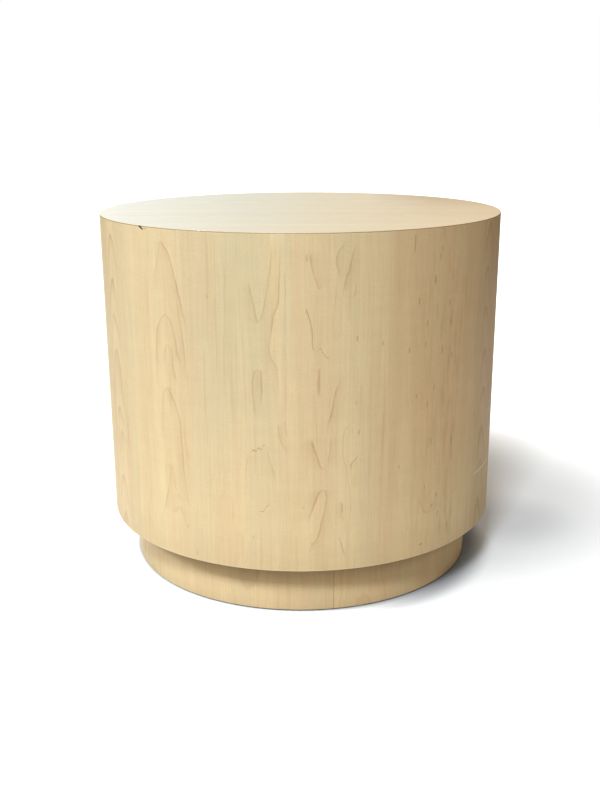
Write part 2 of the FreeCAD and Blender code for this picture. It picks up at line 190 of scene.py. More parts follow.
# Cards that only the gloss mirrors: radius, height and stops of (degrees from the front, chart colour)
CARDS = {
    "room_card": (2.4, 2.5, (
        (40, (92, 82, 70)), (140, (106, 94, 80)), (160, (202, 182, 156)), (176, (199, 193, 175)),
        (185, (200, 204, 196)), (196, (216, 224, 222)), (204, (244, 252, 250)),
    )),
    "left_card": (2.4, 2.5, ((-150, (140, 130, 120)), (-80, (110, 102, 92)))),
    "sill_card": (2.35, 0.734, ((140, (112, 84, 62)), (167, (112, 84, 62)), (173, (190, 182, 164)))),
}
CARD_COLUMNS = 48
CARD_STRENGTH = 1.3

# Fades over the floor that shape its painted light and painted shadow, as (start, end) or (start, end,
# strength):
# from the shadow's middle and its darkest place, then from the drum's axis, and last to the right of that
# axis
SHADOW_MIDDLE = (0.25, 0.17, 0.0)
SHADOW_FADE = (0.19, 0.68)
SHADOW_DEPTH = (0.37, 0.06, 0.0)
DEPTH_FADE = (0.14, 0.02, 0.2)
CONTACT_FADE = (0.325, 0.275, 0.75)
PLINTH_FOOT = (0.268, 0.282)
FAR_FLOOR = (0.5, 1.1)
UNDER_DRUM = (0.44, 0.33)
CONTACT_RIGHT = (0.02, 0.24)
RIGHT_FLOOR = (0.18, 0.5, 0.7)
FLOOR_RADIUS = 25.0
FLOOR_GAP = 0.2 * MM
BACK_LAMP_PLACE = (1.4, 2.5, 1.3)
BACK_LAMP_SIZE = (2.0, 0.8)


def linear(red, green, blue):
    """A linear colour from the 0 to 255 values of a paint chart."""
    def channel(value):
        part = value / 255
        return part / 12.92 if part <= 0.04045 else ((part + 0.055) / 1.055) ** 2.4

    return (channel(red), channel(green), channel(blue), 1.0)


def darker(chart, kept):
    """A linear colour darkened to what is kept of it."""
    return tuple(value * kept for value in chart[:3]) + (1.0,)


def colour(name, description, chart):
    """A colour property whose default is given as chart values."""
    return FloatVectorProperty(
        name=name, description=description, default=linear(*chart), size=4, subtype="COLOR", min=0, max=1
    )


def length(name, description, default):
    """A length property in metres."""
    return FloatProperty(name=name, description=description, default=default, unit="LENGTH", precision=5)


def share(name, description, default):
    """A property between 0 and 1."""
    return FloatProperty(name=name, description=description, default=default, min=0, max=1, subtype="FACTOR")


def angle(name, description, degrees):
    """An angle property, given in degrees."""
    return FloatProperty(name=name, description=description, default=math.radians(degrees), subtype="ANGLE")


def power(name, description, default):
    """A lamp's power in watts."""
    return FloatProperty(name=name, description=description, default=default, unit="POWER")


class SheetSettings(bpy.types.PropertyGroup):
    """Sizes of the laminate sheets that a maker would change."""

    eased_edge: length("Eased edge", "Radius filed on the long edges of the wall sheets", 0.4 * MM)
    decor_layer: length("Decor layer", "Printed layer over the brown core of a sheet", 0.2 * MM)
    column: angle("Column", "Angle between two columns of a sheet's mesh", 1.0)
    chip_across: length("Chip place", "Where the rim is chipped, round the wall from the front", -237 * MM)
    chip_drop: length("Chip drop", "Middle of the chip below the table top", 2.6 * MM)
    chip_length: length("Chip length", "Length of the chip along the rim", 12 * MM)
    chip_height: length("Chip height", "Height of the chip", 3.0 * MM)
    chip_depth: length("Chip depth", "How deep the chip goes into the sheet", 0.7 * MM)


class FinishSettings(bpy.types.PropertyGroup):
    """Colours and gloss of the table's finishes."""

    maple_cream: colour("Maple cream", "Paler wood of the maple print", (236, 217, 173))
    maple_blush: colour("Maple blush", "Warmer bands of the maple print", (229, 206, 163))
    maple_line: colour("Maple line", "Grain lines of the maple print", (180, 136, 88))
    maple_green: colour("Maple green", "Cooler bands of the maple print", (228, 211, 169))
    maple_mottle: colour("Maple mottle", "Darker mottle at the right of the drum's print", (172, 146, 96))
    # Painted highlight: a pale line where the drum's lower edge catches light
    filed_edge: colour("Filed edge", "Painted highlight along the drum's lower edge", (248, 238, 214))
    scratch: colour("Scratch", "Pale scratch low on the drum's wall", (254, 246, 226))
    # Painted shade: the plinth darkens where the drum's overhang shades it
    plinth_soil: colour("Plinth soil", "Painted shade on the plinth under the drum", (104, 80, 44))
    laminate_core: colour("Laminate core", "Brown core that shows at a sheet's cut edges", (160, 136, 100))
    chipped_core: colour("Chipped core", "Dirty core inside the chip", (80, 80, 50))
    bruise: colour("Bruise", "Pale bruise beside the chip", (182, 184, 146))
    wall_roughness: share("Wall roughness", "Roughness of the laminate on the walls", 0.55)
    wall_gloss: share("Wall gloss", "Gloss of the laminate on the walls", 0.2)
    top_roughness: share("Top roughness", "Roughness of the laminate on the table top", 0.34)
    top_gloss: share("Top gloss", "Gloss of the laminate on the table top", 0.8)
    top_polish: share("Top polish", "Extra polish on the table top", 1.0)
    birch: colour("Birch", "Face veneer of the birch plywood", (222, 196, 152))
    bending_ply: colour("Bending ply", "Face of the bending plywood", (206, 170, 124))
    pine: colour("Pine", "Stiles and blocks", (224, 190, 136))
    chipboard: colour("Particle board", "Core of the table top", (196, 164, 116))
    zinc: colour("Zinc", "Plated screws, nuts and stems", (196, 198, 194))
    zinc_bloom: colour("Zinc bloom", "Yellow bloom on the plating", (190, 176, 140))
    nylon: colour("Nylon", "Moulded pads", (34, 34, 35))
    nylon_scuff: colour("Nylon scuff", "Scuffed places of the pads", (120, 118, 112))


class HardwareSettings(bpy.types.PropertyGroup):
    """Sizes of the screws and the levelling glides."""

    stem_pitch: length("Stem pitch", "Pitch of the glide stem's thread", 1.25 * MM)
    stem_thread_depth: length("Stem thread depth", "Depth of the glide stem's thread", 0.77 * MM)
    stem_diameter: length("Stem diameter", "Outer diameter of the glide stem's thread", 8 * MM)
    neck_diameter: length("Neck diameter", "Stem's neck between the hexagon and the foot", 6.8 * MM)
    foot_diameter: length("Foot diameter", "Disc on the stem's end, held in the pad", 11 * MM)
    foot_thickness: length("Foot thickness", "Thickness of that disc", 3 * MM)
    hexagon_flats: length("Hexagon", "Across the flats of the stem's hexagon", 13 * MM)
    hexagon_low: length("Hexagon underside", "Height of the hexagon's underside above the floor", 8.3 * MM)
    hexagon_high: length("Hexagon top", "Height of the hexagon's top above the floor", 11.7 * MM)
    screw_pitch: length("Screw pitch", "Pitch of the wood screws' thread", 1.8 * MM)
    screw_root: length("Screw root", "Diameter of a wood screw at the root of its thread", 2.7 * MM)
    screw_recess: length("Screw recess", "Span of the cross recess in a screw's head", 4.4 * MM)
    screw_recess_depth: length("Recess depth", "Depth of the cross recess", 1.6 * MM)


class StudioSettings(bpy.types.PropertyGroup):
    """Camera, lamps and floor."""

    lens: FloatProperty(name="Lens", description="Focal length", default=44.93, unit="CAMERA")
    camera_aside: length("Camera aside", "Camera's place to the right of the drum's axis", -1.5 * MM)
    camera_distance: length("Camera distance", "From the drum's axis", 1.564)
    camera_height: length("Camera height", "Above the floor", 0.6997)
    camera_tilt: angle("Camera tilt", "Downward tilt of the camera", 16.461)
    camera_roll: angle("Camera roll", "Roll of the camera about its view", -0.256)
    ambient: share("Ambient", "Light that comes evenly from all round", 0.05)
    window_side: angle("Window side", "Direction of the window light, round from the front", -48)
    window_light: share("Window light", "How much the light leans to that side", 0.3)
    sky_light: share("Sky light", "Extra light from above", 0.75)
    darkest: share("Darkest", "Least light from any side", 0.02)
    room_tint: colour("Room tint", "Tint of the light from the side away from the window", (255, 230, 204))
    lamp_distance: length("Lamp distance", "From the middle of the table to a lamp", 5.0)
    lamp_size: length("Lamp size", "Side of a lamp", 0.8)
    left_power: power("Left lamp", "Power of the lamp at the left", 79)
    left_side: angle("Left lamp side", "Direction of that lamp, round from the front", -66)
    left_rise: angle("Left lamp rise", "Height of that lamp above the horizon", 37)
    front_power: power("Front lamp", "Power of the lamp in front", 146)
    front_side: angle("Front lamp side", "Direction of that lamp, round from the front", -14)
    front_rise: angle("Front lamp rise", "Height of that lamp above the horizon", 46)
    back_power: power("Back lamp", "Power of the lamp behind", 13)
    floor: colour("Floor", "Colour of the studio floor", (233, 245, 255))
    floor_shade: colour("Floor shade", "Colour that its deepest shade leans to", (44, 57, 76))
    floor_bounce: colour("Floor bounce", "Light that it throws back up close to the table", (192, 186, 175))
    floor_rest: colour("Floor rest", "Light that it throws back up further away", (82, 78, 72))
    floor_under: colour("Floor under", "Light that it throws back under the drum's edge", (160, 146, 126))


class Graph:
    """Adds shader nodes to one tree, so that a finish reads as a short recipe."""

    def __init__(self, tree):
        self.tree = tree

    def feed(self, socket, value):
        """Links a socket to another, or sets it to a constant."""
        if isinstance(value, bpy.types.NodeSocket):
            self.tree.links.new(value, socket)
        else:
            socket.default_value = value

    def node(self, kind, inputs=None, **settings):
        """A node with its settings and inputs."""
        made = self.tree.nodes.new(kind)
        for key, value in settings.items():
            setattr(made, key, value)
        for key, value in (inputs or {}).items():
            self.feed(made.inputs[key], value)
        return made

    def math(self, operation, *values):
        """A number worked out from one to three others."""
        return self.node("ShaderNodeMath", dict(enumerate(values)), operation=operation).outputs[0]

    def product(self, first, *others):
        """Numbers multiplied one after another."""
        for other in others:
            first = self.math("MULTIPLY", first, other)
        return first

    def vector(self, operation, *values):
        """A vector worked out from others, or the number that a distance or a dot product gives."""
        made = self.node("ShaderNodeVectorMath", dict(enumerate(values)), operation=operation)
        return made.outputs["Value" if operation in ("DISTANCE", "DOT_PRODUCT") else "Vector"]

    def point(self, x=0.0, y=0.0, z=0.0):
        """A vector from three numbers."""
        return self.node("ShaderNodeCombineXYZ", {"X": x, "Y": y, "Z": z}).outputs[0]

    def parts(self, vector):
        """The three numbers of a vector."""
        return self.node("ShaderNodeSeparateXYZ", {"Vector": vector}).outputs

    def place(self):
        """Where a point lies on its object."""
        return self.node("ShaderNodeTexCoord").outputs["Object"]

    def remap(self, value, start, end, low, high, **kind):
        """A straight ramp from low to high while the value goes from start to end."""
        inputs = {"Value": value, "From Min": start, "From Max": end, "To Min": low, "To Max": high}
        return self.node("ShaderNodeMapRange", inputs, **kind).outputs["Result"]

    def fade(self, value, start, end, high=1.0):
        """A smooth step from 0 to high while the value goes from start to end."""
        return self.remap(value, start, end, 0.0, high, interpolation_type="SMOOTHSTEP")

    def band(self, value, comes, goes):
        """A mask that comes in between two values and goes out between two more."""
        return self.product(self.fade(value, *comes), self.fade(value, *goes))

    def curve(self, value, stops):
        """A smooth curve from 0 to 1 through stops, in order."""
        made = self.node("ShaderNodeFloatCurve", {"Value": value})
        points = made.mapping.curves[0].points
        points[0].location = stops[0]
        points[-1].location = stops[-1]
        for stop in stops[1:-1]:
            points.new(*stop)
        for point in points:
            point.handle_type = "AUTO_CLAMPED"
        made.mapping.update()
        return made.outputs["Value"]

    def noise(self, place, detail=2.0, roughness=0.5, distortion=0.0, scale=1.0):
        """Smooth noise around 0.5."""
        inputs = {"Vector": place, "Scale": scale, "Detail": detail, "Roughness": roughness}
        inputs["Distortion"] = distortion
        return self.node("ShaderNodeTexNoise", inputs).outputs["Fac"]

    def patches(self, across, along, wide, tall, seed, **kind):
        """Noise in patches that are about so wide across and so tall along."""
        place = self.point(self.math("DIVIDE", across, wide), self.math("DIVIDE", along, tall), seed)
        return self.noise(place, **kind)

    def sway(self, *place, **kind):
        """Such patches, swinging about 0."""
        return self.math("SUBTRACT", self.patches(*place, **kind), 0.5)

    def mix(self, factor, first, second, blend="MIX", part=None):
        """Two colours mixed; a part cuts the factor down."""
        if part is not None:
            factor = self.math("MULTIPLY", factor, part)
        inputs = {0: factor, 6: first, 7: second}
        return self.node("ShaderNodeMix", inputs, data_type="RGBA", blend_type=blend).outputs[2]

    def graded(self, paint, tone):
        """A colour made lighter or darker by a number."""
        return self.mix(1.0, paint, self.point(tone, tone, tone), "MULTIPLY")

    def group(self, make, **inputs):
        """Outputs of a shader group, made at its first use; an input's name has underscores for spaces."""
        name = make.__name__.replace("_", " ").capitalize()
        tree = bpy.data.node_groups.get(name) or make(name)
        inputs = {key.replace("_", " "): value for key, value in inputs.items()}
        return self.node("ShaderNodeGroup", inputs, node_tree=tree).outputs

    def give(self, **outputs):
        """Feeds the outputs of a shader group and hands its tree over."""
        self.node("NodeGroupOutput", outputs)
        return self.tree


def new_group(name, inputs, outputs):
    """An empty shader group: its graph and its inputs; its outputs are numbers, but for one called Color."""
    tree = bpy.data.node_groups.new(name, "ShaderNodeTree")
    for label, default in inputs.items():
        kind = "NodeSocketFloat" if isinstance(default, float) else "NodeSocketColor"
        tree.interface.new_socket(label, in_out="INPUT", socket_type=kind).default_value = default
    for label in outputs:
        kind = "NodeSocketColor" if label == "Color" else "NodeSocketFloat"
        tree.interface.new_socket(label, in_out="OUTPUT", socket_type=kind)
    graph = Graph(tree)
    return graph, graph.node("NodeGroupInput").outputs


def wood_fibre(name):
    """Fine streaks, broad bands and short pores that run along a board's grain."""
    inputs = {"Across": 0.0, "Along": 0.0, "Seed": 0.0, "Streak width": 2.2 * MM, "Band width": 34 * MM}
    graph, given = new_group(name, inputs, ("Streak", "Band", "Pore"))
    place = given["Across"], given["Along"]
    streak = graph.patches(*place, given["Streak width"], 0.16, given["Seed"], detail=3.0, roughness=0.62)
    streak = graph.fade(streak, 0.30, 0.70)
    band_seed = graph.math("ADD", given["Seed"], 17.3)
    band = graph.patches(*place, given["Band width"], 0.9, band_seed, detail=4.0, roughness=0.62)
    band = graph.fade(band, 0.32, 0.68)
    pore_seed = graph.math("ADD", given["Seed"], 5.1)
    pore = graph.patches(*place, wide=0.9 * MM, tall=11 * MM, seed=pore_seed, detail=1.0)
    return graph.give(Streak=streak, Band=band, Pore=graph.fade(pore, 0.60, 0.72))


def veneer_arch(name):
    """Height of the arch that a point of a plain-sliced leaf lies on, measured at the arch's tip."""
    inputs = {"Across": 0.0, "Along": 0.0, "Spread": 30 * MM, "Jag": 14 * MM, "Seed": 0.0}
    graph, given = new_group(name, inputs, ("Arch",))
    side = graph.math("DIVIDE", graph.math("ABSOLUTE", given["Across"]), given["Spread"])
    drop = graph.math("MULTIPLY", graph.math("POWER", side, ARCH_POWER), ARCH_DROP)
    jag = graph.sway(given["Across"], given["Along"], wide=6 * MM, tall=70 * MM, seed=given["Seed"])
    waved = graph.math("MULTIPLY_ADD", jag, given["Jag"], given["Along"])
    return graph.give(Arch=graph.math("ADD", waved, drop))


def veneer_leaves(name):
    """Mask of the grain lines of plain-sliced leaves laid side by side."""
    inputs = {"Across": 0.0, "Along": 0.0, "Leaf width": 0.22, "Line gap": 60 * MM, "Seed": 0.0}
    graph, given = new_group(name, inputs, ("Line",))
    seed = given["Seed"]
    sway_reach = 36 * MM
    sway = graph.sway(given["Along"], given["Across"], wide=0.13, tall=0.30, seed=seed)
    swayed = graph.math("MULTIPLY_ADD", sway, sway_reach, given["Across"])
    leaf_place = graph.math("DIVIDE", swayed, given["Leaf width"])
    leaf = graph.math("FLOOR", leaf_place)
    from_middle = graph.math("SUBTRACT", graph.math("SUBTRACT", leaf_place, leaf), 0.5)
    across = graph.math("MULTIPLY", from_middle, given["Leaf width"])
    lot = {"Vector": graph.point(leaf, seed, 1.7)}
    drawn = graph.node("ShaderNodeTexWhiteNoise", lot, noise_dimensions="3D").outputs["Value"]
    turned_share = 0.45
    turned = graph.math("SIGN", graph.math("SUBTRACT", drawn, turned_share))
    along = graph.math("MULTIPLY_ADD", given["Along"], turned, drawn)
    arch = graph.group(veneer_arch, Across=across, Along=along, Seed=seed, Spread=26 * MM)["Arch"]
    uneven = graph.noise(graph.point(graph.math("DIVIDE", arch, 0.09), leaf, seed), detail=1.0)
    unevenness = 1.6
    rings = graph.math("MULTIPLY_ADD", uneven, unevenness, graph.math("DIVIDE", arch, given["Line gap"]))
    part = graph.math("FRACT", rings)
    line = graph.product(graph.math("POWER", part, 4.0), graph.fade(part, 1.0, 0.94))
    near = graph.fade(graph.math("ABSOLUTE", from_middle), 0.42, 0.16)
    return graph.give(Line=graph.product(line, near))


def tapered_line(name, draw):
    """Group for the mask of one grain line, tapered at both ends; draw makes it from the gap to the line."""
    inputs = {"Gap": 1.0, "Half width": LINE_HALF_WIDTH, "Strength": 1.0, "Along": 0.0}
    inputs.update({"Foot": 0.0, "Top": 1.0, "Foot taper": 10 * MM, "Top taper": 4 * MM})
    graph, given = new_group(name, inputs, ("Mask",))
    line = graph.math("MULTIPLY", draw(graph, given), given["Strength"])
    above_foot = graph.math("ADD", given["Foot"], given["Foot taper"])
    below_top = graph.math("SUBTRACT", given["Top"], given["Top taper"])
    line = graph.fade(given["Along"], given["Foot"], above_foot, line)
    return graph.give(Mask=graph.fade(given["Along"], given["Top"], below_top, line))


def shaded_grain_line(name):
    """Mask of one grain line that is sharp on one side and fades off slowly where the gap is positive."""
    def draw(graph, given):
        return graph.curve(graph.remap(given["Gap"], -SHADE_REACH, SHADE_REACH, 0.0, 1.0), LINE_PROFILE)

    return tapered_line(name, draw)


def plain_grain_line(name):
    """Mask of one grain line that fades off alike on both sides."""
    def draw(graph, given):
        return graph.fade(graph.math("ABSOLUTE", given["Gap"]), given["Half width"], 0.0)

    return tapered_line(name, draw)


def maple_print(name):
    """Colour, roughness and relief of the maple print, given the mask of its grain lines."""
    finish = bpy.context.scene.table_finish
    inputs = {"Across": 0.0, "Along": 0.0, "Seed": 0.0, "Line": 0.0, "Line strength": 0.4, "Figure": 0.05}
    for label in ("Cream", "Blush", "Green", "Line"):
        inputs[f"{label} colour"] = getattr(finish, f"maple_{label.lower()}")[:]
    inputs["Plain roughness"] = 0.42
    graph, given = new_group(name, inputs, ("Color", "Roughness", "Height"))
    across, along, seed = given["Across"], given["Along"], given["Seed"]
    fibre = graph.group(wood_fibre, Across=across, Along=along, Seed=seed)
    streak, pore = fibre["Streak"], fibre["Pore"]
    wood = graph.mix(fibre["Band"], given["Cream colour"], given["Blush colour"])
    cool = graph.fade(graph.patches(across, along, 60 * MM, 0.7, seed), 0.48, 0.62)
    wood = graph.mix(cool, wood, given["Green colour"], part=0.8)
    stain = graph.patches(across, along, 9 * MM, 0.2, seed, detail=3.0, roughness=0.6)
    wood = graph.mix(graph.fade(stain, 0.55, 0.75), wood, given["Line colour"], part=0.18)
    figure = graph.patches(across, along, 46 * MM, 0.4, seed, detail=2.5, roughness=0.42)
    ring = graph.math("FRACT", graph.math("MULTIPLY", figure, 12.0))
    ring = graph.product(graph.math("POWER", ring, 2.2), graph.fade(ring, 1.0, 0.92))
    wood = graph.mix(ring, wood, given["Line colour"], part=given["Figure"])
    wood = graph.graded(wood, graph.remap(streak, 0.0, 1.0, 0.962, 1.02))
    wood = graph.graded(wood, graph.remap(pore, 0.0, 1.0, 1.0, 0.965))
    curl = graph.patches(across, along, 50 * MM, 22 * MM, seed, detail=5.0, roughness=0.68)
    wood = graph.graded(wood, graph.remap(curl, 0.3, 0.7, 0.971, 1.021))
    speck = graph.patches(across, along, 2.2 * MM, 2.8 * MM, seed, roughness=0.6)
    wood = graph.graded(wood, graph.remap(speck, 0.3, 0.7, 0.967, 1.033))
    wood = graph.mix(given["Line"], wood, given["Line colour"], part=given["Line strength"])
    rough = graph.math("ADD", graph.remap(streak, 0.0, 1.0, -0.03, 0.03), given["Plain roughness"])
    smear = graph.patches(across, along, 0.12, 0.16, 3.3, detail=4.0, distortion=0.6)
    rough = graph.math("ADD", rough, graph.remap(smear, 0.3, 0.7, -0.05, 0.05))
    height = graph.math("SUBTRACT", graph.math("MULTIPLY", streak, 0.4), graph.math("MULTIPLY", pore, 0.6))
    return graph.give(Color=wood, Roughness=rough, Height=height)


def handling_grime(name):
    """Uneven soiling for bare boards, metal and plastic: a mask and a change of roughness."""
    graph, given = new_group(name, {"Patch size": 30 * MM}, ("Grime", "Roughness"))
    scale = graph.math("DIVIDE", 1.0, given["Patch size"])
    patch = graph.noise(graph.place(), detail=4.0, roughness=0.6, scale=scale)
    rough = graph.remap(patch, 0.3, 0.7, -0.06, 0.08)
    return graph.give(Grime=graph.fade(patch, 0.50, 0.75), Roughness=rough)


def new_finish(name, **constants):
    """A new material, its graph and its shader; a constant's name has underscores for its socket's spaces."""
    material = bpy.data.materials.new(name)
    material.use_nodes = True
    shader = material.node_tree.nodes["Principled BSDF"]
    for key, value in constants.items():
        shader.inputs[key.replace("_", " ")].default_value = value
    return material, Graph(material.node_tree), shader


def finish_of(make):
    """A finish, made at its first use and found by its name after that."""
    return bpy.data.materials.get(make.__name__) or make(make.__name__)


def set_surface(graph, shader, paint, roughness, relief, depth, strength):
    """Feeds a shader's colour, roughness and bump; a relief of 1 stands for so much depth."""
    inputs = {"Height": relief, "Distance": depth, "Strength": strength}
    bump = graph.node("ShaderNodeBump", inputs).outputs["Normal"]
    for label, value in (("Base Color", paint), ("Roughness", roughness), ("Normal", bump)):
        graph.feed(shader.inputs[label], value)


def set_print(graph, shader, wood, maple, relief):
    """Feeds a shader from the maple print, with a shallow relief."""
    set_surface(graph, shader, wood, maple["Roughness"], relief, depth=0.05 * MM, strength=0.35)


def sheet_place(graph):
    """Where a point lies on its sheet: across and along the grain."""
    parts = graph.parts(graph.node("ShaderNodeUVMap", uv_map=GRAIN_MAP).outputs["UV"])
    return parts["X"], parts["Y"]


def grain_line(graph, across, along, points, half_width, shade, strength, joined=False):
    """Mask of a grain line that runs down through points in millimetres; joined ones share an arch's tip."""
    left = min(point[0] for point in points) - 1
    wide = max(point[0] for point in points) + 1 - left
    top, foot = points[0][1], points[-1][1]
    tall = top - foot
    part = graph.remap(along, foot * MM, top * MM, 0.0, 1.0)
    stops = [((height - foot) / tall, (place - left) / wide) for place, height in reversed(points)]
    path = graph.math("MULTIPLY_ADD", graph.curve(part, stops), wide * MM, left * MM)
    gap = graph.math("SUBTRACT", path, across) if shade < 0 else graph.math("SUBTRACT", across, path)
    (before, height_before), (last, _) = points[-2:]
    hooked = abs(last - before) >= height_before - foot
    tip = min(LONGEST_TIP, 0.2 * tall)
    start = tip
    if joined:
        start = JOINED_TIP
    elif shade:
        start = max(tip, 0.25 * tall)
    end = tip if hooked else 0.35 * tall
    drawn = graph.group(
        shaded_grain_line if shade else plain_grain_line,
        Gap=gap,
        Half_width=half_width,
        Strength=strength,
        Along=along,
        Foot=foot * MM,
        Top=top * MM,
        Foot_taper=end * MM,
        Top_taper=start * MM,
    )
    return drawn["Mask"]


def level_line(graph, across, along, points, half_width, strength):
    """Mask of a line that runs from left to right through points in millimetres."""
    turned = [(height, place) for place, height in reversed(points)]
    return grain_line(graph, along, across, turned, half_width, 0, strength)


def drum_lines(graph, across, along):
    """Mask of the grain lines of the drum: drawn ones in front, leaves round the rest."""
    sway = graph.sway(across, along, wide=10 * MM, tall=16 * MM, seed=0.4, detail=3.0)
    swayed = graph.math("MULTIPLY_ADD", sway, 4 * MM, across)
    lifted = graph.math("MULTIPLY_ADD", sway, 6 * MM, along)
    mask = 0.0
    starts = [points[0] for _, _, points in DRUM_LINES]
    for strength, shade, points in DRUM_LINES:
        joined = starts.count(points[0]) > 1
        line = grain_line(graph, swayed, along, points, LINE_HALF_WIDTH, shade, strength, joined)
        mask = graph.math("MAXIMUM", mask, line)
    for strength, points in DRUM_ZIGZAGS:
        line = level_line(graph, swayed, lifted, points, LINE_HALF_WIDTH, strength)
        mask = graph.math("MAXIMUM", mask, line)
    for place, height, tall in DRUM_FLECKS:
        ends = [(place, height + side * tall / 2) for side in (1, -1)]
        half_width = (3.2 if tall > LONG_FLECK else 2.2) * MM
        strength = 0.95 if place > STRONG_FLECKS else 0.75
        mask = graph.math("MAXIMUM", mask, grain_line(graph, swayed, along, ends, half_width, 0, strength))
    leaves = graph.group(veneer_leaves, Across=across, Along=along, Seed=4.0)["Line"]
    away = graph.fade(graph.math("ABSOLUTE", across), *DRAWN_FRONT)
    mask = graph.math("MAXIMUM", mask, graph.product(leaves, away))
    patchy = graph.patches(across, along, wide=25 * MM, tall=40 * MM, seed=7.7, detail=3.0)
    return graph.product(mask, graph.remap(patchy, 0.3, 0.7, 0.45, 1.1))


def drum_maple(name):
    """Satin maple laminate of the drum's wall, with its drawn grain, a scratch and a nick."""
    finish = bpy.context.scene.table_finish
    material, graph, shader = new_finish(name, Specular_IOR_Level=finish.wall_gloss)
    across, along = sheet_place(graph)
    line = drum_lines(graph, across, along)
    rough = finish.wall_roughness
    maple = graph.group(
        maple_print, Across=across, Along=along, Line=line, Line_strength=0.6, Plain_roughness=rough
    )
    wood = maple["Color"]
    for comes, goes, rise, tint in DRUM_TONES:
        tone = graph.product(graph.band(across, comes, goes), graph.fade(along, *rise))
        wood = graph.mix(tone, wood, tint, "MULTIPLY")
    mottle = graph.patches(across, along, wide=8 * MM, tall=48 * MM, seed=5.1, detail=4.0, roughness=0.55)
    right = graph.band(across, *MOTTLE_BAND)
    wood = graph.mix(graph.fade(mottle, 0.46, 0.74, high=0.24), wood, finish.maple_mottle[:], part=right)
    streak = grain_line(graph, across, along, DARK_STREAK, half_width=1.6 * MM, shade=0, strength=0.6)
    wood = graph.mix(streak, wood, finish.maple_line[:])
    # Painted highlight along the drum's lower edge, where it catches light
    wood = graph.mix(graph.fade(along, *EDGE_HIGHLIGHT_FADE), wood, finish.filed_edge[:], part=0.6)
    nick = level_line(graph, across, along, WALL_NICK, half_width=1.6 * MM, strength=1.0)
    wood = graph.mix(nick, wood, finish.laminate_core[:])
    scratch = level_line(graph, across, along, PALE_SCRATCH, half_width=2.0 * MM, strength=0.9)
    wood = graph.mix(scratch, wood, finish.scratch[:])
    scored = graph.math("SUBTRACT", maple["Height"], graph.math("ADD", scratch, nick))
    set_print(graph, shader, wood, maple, scored)
    return material


def leafed_maple(name, seed, leaf_width, line_gap, line_strength, roughness, gloss, polish=0.0, soil=0.0):
    """Satin maple laminate with plain-sliced leaves all over; painted shade darkens it close under the drum.
    """
    material, graph, shader = new_finish(
        name, Specular_IOR_Level=gloss, Coat_Weight=polish, Coat_Roughness=0.1, Coat_IOR=1.7
    )
    across, along = sheet_place(graph)
    place = {"Across": across, "Along": along, "Seed": seed}
    line = graph.group(veneer_leaves, **place, Leaf_width=leaf_width, Line_gap=line_gap)["Line"]
    maple = graph.group(
        maple_print, **place, Line=line, Line_strength=line_strength, Plain_roughness=roughness
    )
    wood = maple["Color"]
    # Painted shade: darker towards the drum's overhang, standing in for its shadow
    if soil:
        under = graph.fade(along, *PAINTED_SHADE_FADE)
        wood = graph.mix(under, wood, bpy.context.scene.table_finish.plinth_soil[:], part=soil)
    set_print(graph, shader, wood, maple, maple["Height"])
    return material


def top_maple(name):
    """Maple laminate of the table top."""
    finish = bpy.context.scene.table_finish
    return leafed_maple(
        name,
        seed=9.0,
        leaf_width=0.21,
        line_gap=0.09,
        line_strength=0.22,
        roughness=finish.top_roughness,
        gloss=finish.top_gloss,
        polish=finish.top_polish,
    )


def plinth_maple(name):
    """Maple laminate of the plinth, with painted shade under the drum."""
    finish = bpy.context.scene.table_finish
    return leafed_maple(
        name,
        seed=21.0,
        leaf_width=0.19,
        line_gap=0.12,
        line_strength=0.2,
        roughness=finish.wall_roughness,
        gloss=finish.wall_gloss,
        soil=0.4,
    )


def soiled(name, chart, soil, part, patch, roughness, depth, strength, **constants):
    """A plain colour that is soiled, and a little raised, in patches."""
    material, graph, shader = new_finish(name, **constants)
    grime = graph.group(handling_grime, Patch_size=patch)
    paint = graph.mix(grime["Grime"], chart, soil, part=part)
    rough = graph.math("ADD", grime["Roughness"], roughness)
    set_surface(graph, shader, paint, rough, grime["Grime"], depth, strength)
    return material


def stained(name, chart, dark_share, roughness):
    """A core colour with darker specks, for the cut and chipped edges of a sheet."""
    dark = darker(chart, dark_share)
    return soiled(name, chart, dark, 1.0, 2.5 * MM, roughness, depth=0.1 * MM, strength=0.5)


def laminate_core(name):
    """Brown pressed-paper core at the cut edges of the laminate."""
    return stained(name, bpy.context.scene.table_finish.laminate_core[:], 0.7, 0.6)


def chipped_core(name):
    """Dirty core inside the chip."""
    return stained(name, bpy.context.scene.table_finish.chipped_core[:], 0.5, 0.7)


def bruised_decor(name):
    """Pale bruise beside the chip."""
    return stained(name, bpy.context.scene.table_finish.bruise[:], 0.85, 0.6)


def zinc_plate(name):
    """Zinc plating with a faint yellow bloom."""
    finish = bpy.context.scene.table_finish
    return soiled(
        name,
        finish.zinc[:],
        finish.zinc_bloom[:],
        part=0.5,
        patch=6 * MM,
        roughness=0.33,
        depth=0.02 * MM,
        strength=0.3,
        Metallic=1.0,
    )


def distance_out(graph, place):
    """Distance from the drum's axis."""
    squares = [graph.math("POWER", place[label], 2.0) for label in ("X", "Y")]
    return graph.math("SQRT", graph.math("ADD", *squares))


def round_the_axis(graph, place):
    """Length round the wall from the front."""
    around = graph.math("ARCTAN2", place["X"], graph.math("MULTIPLY", place["Y"], -1.0))
    return graph.math("MULTIPLY", around, cad_high.x)


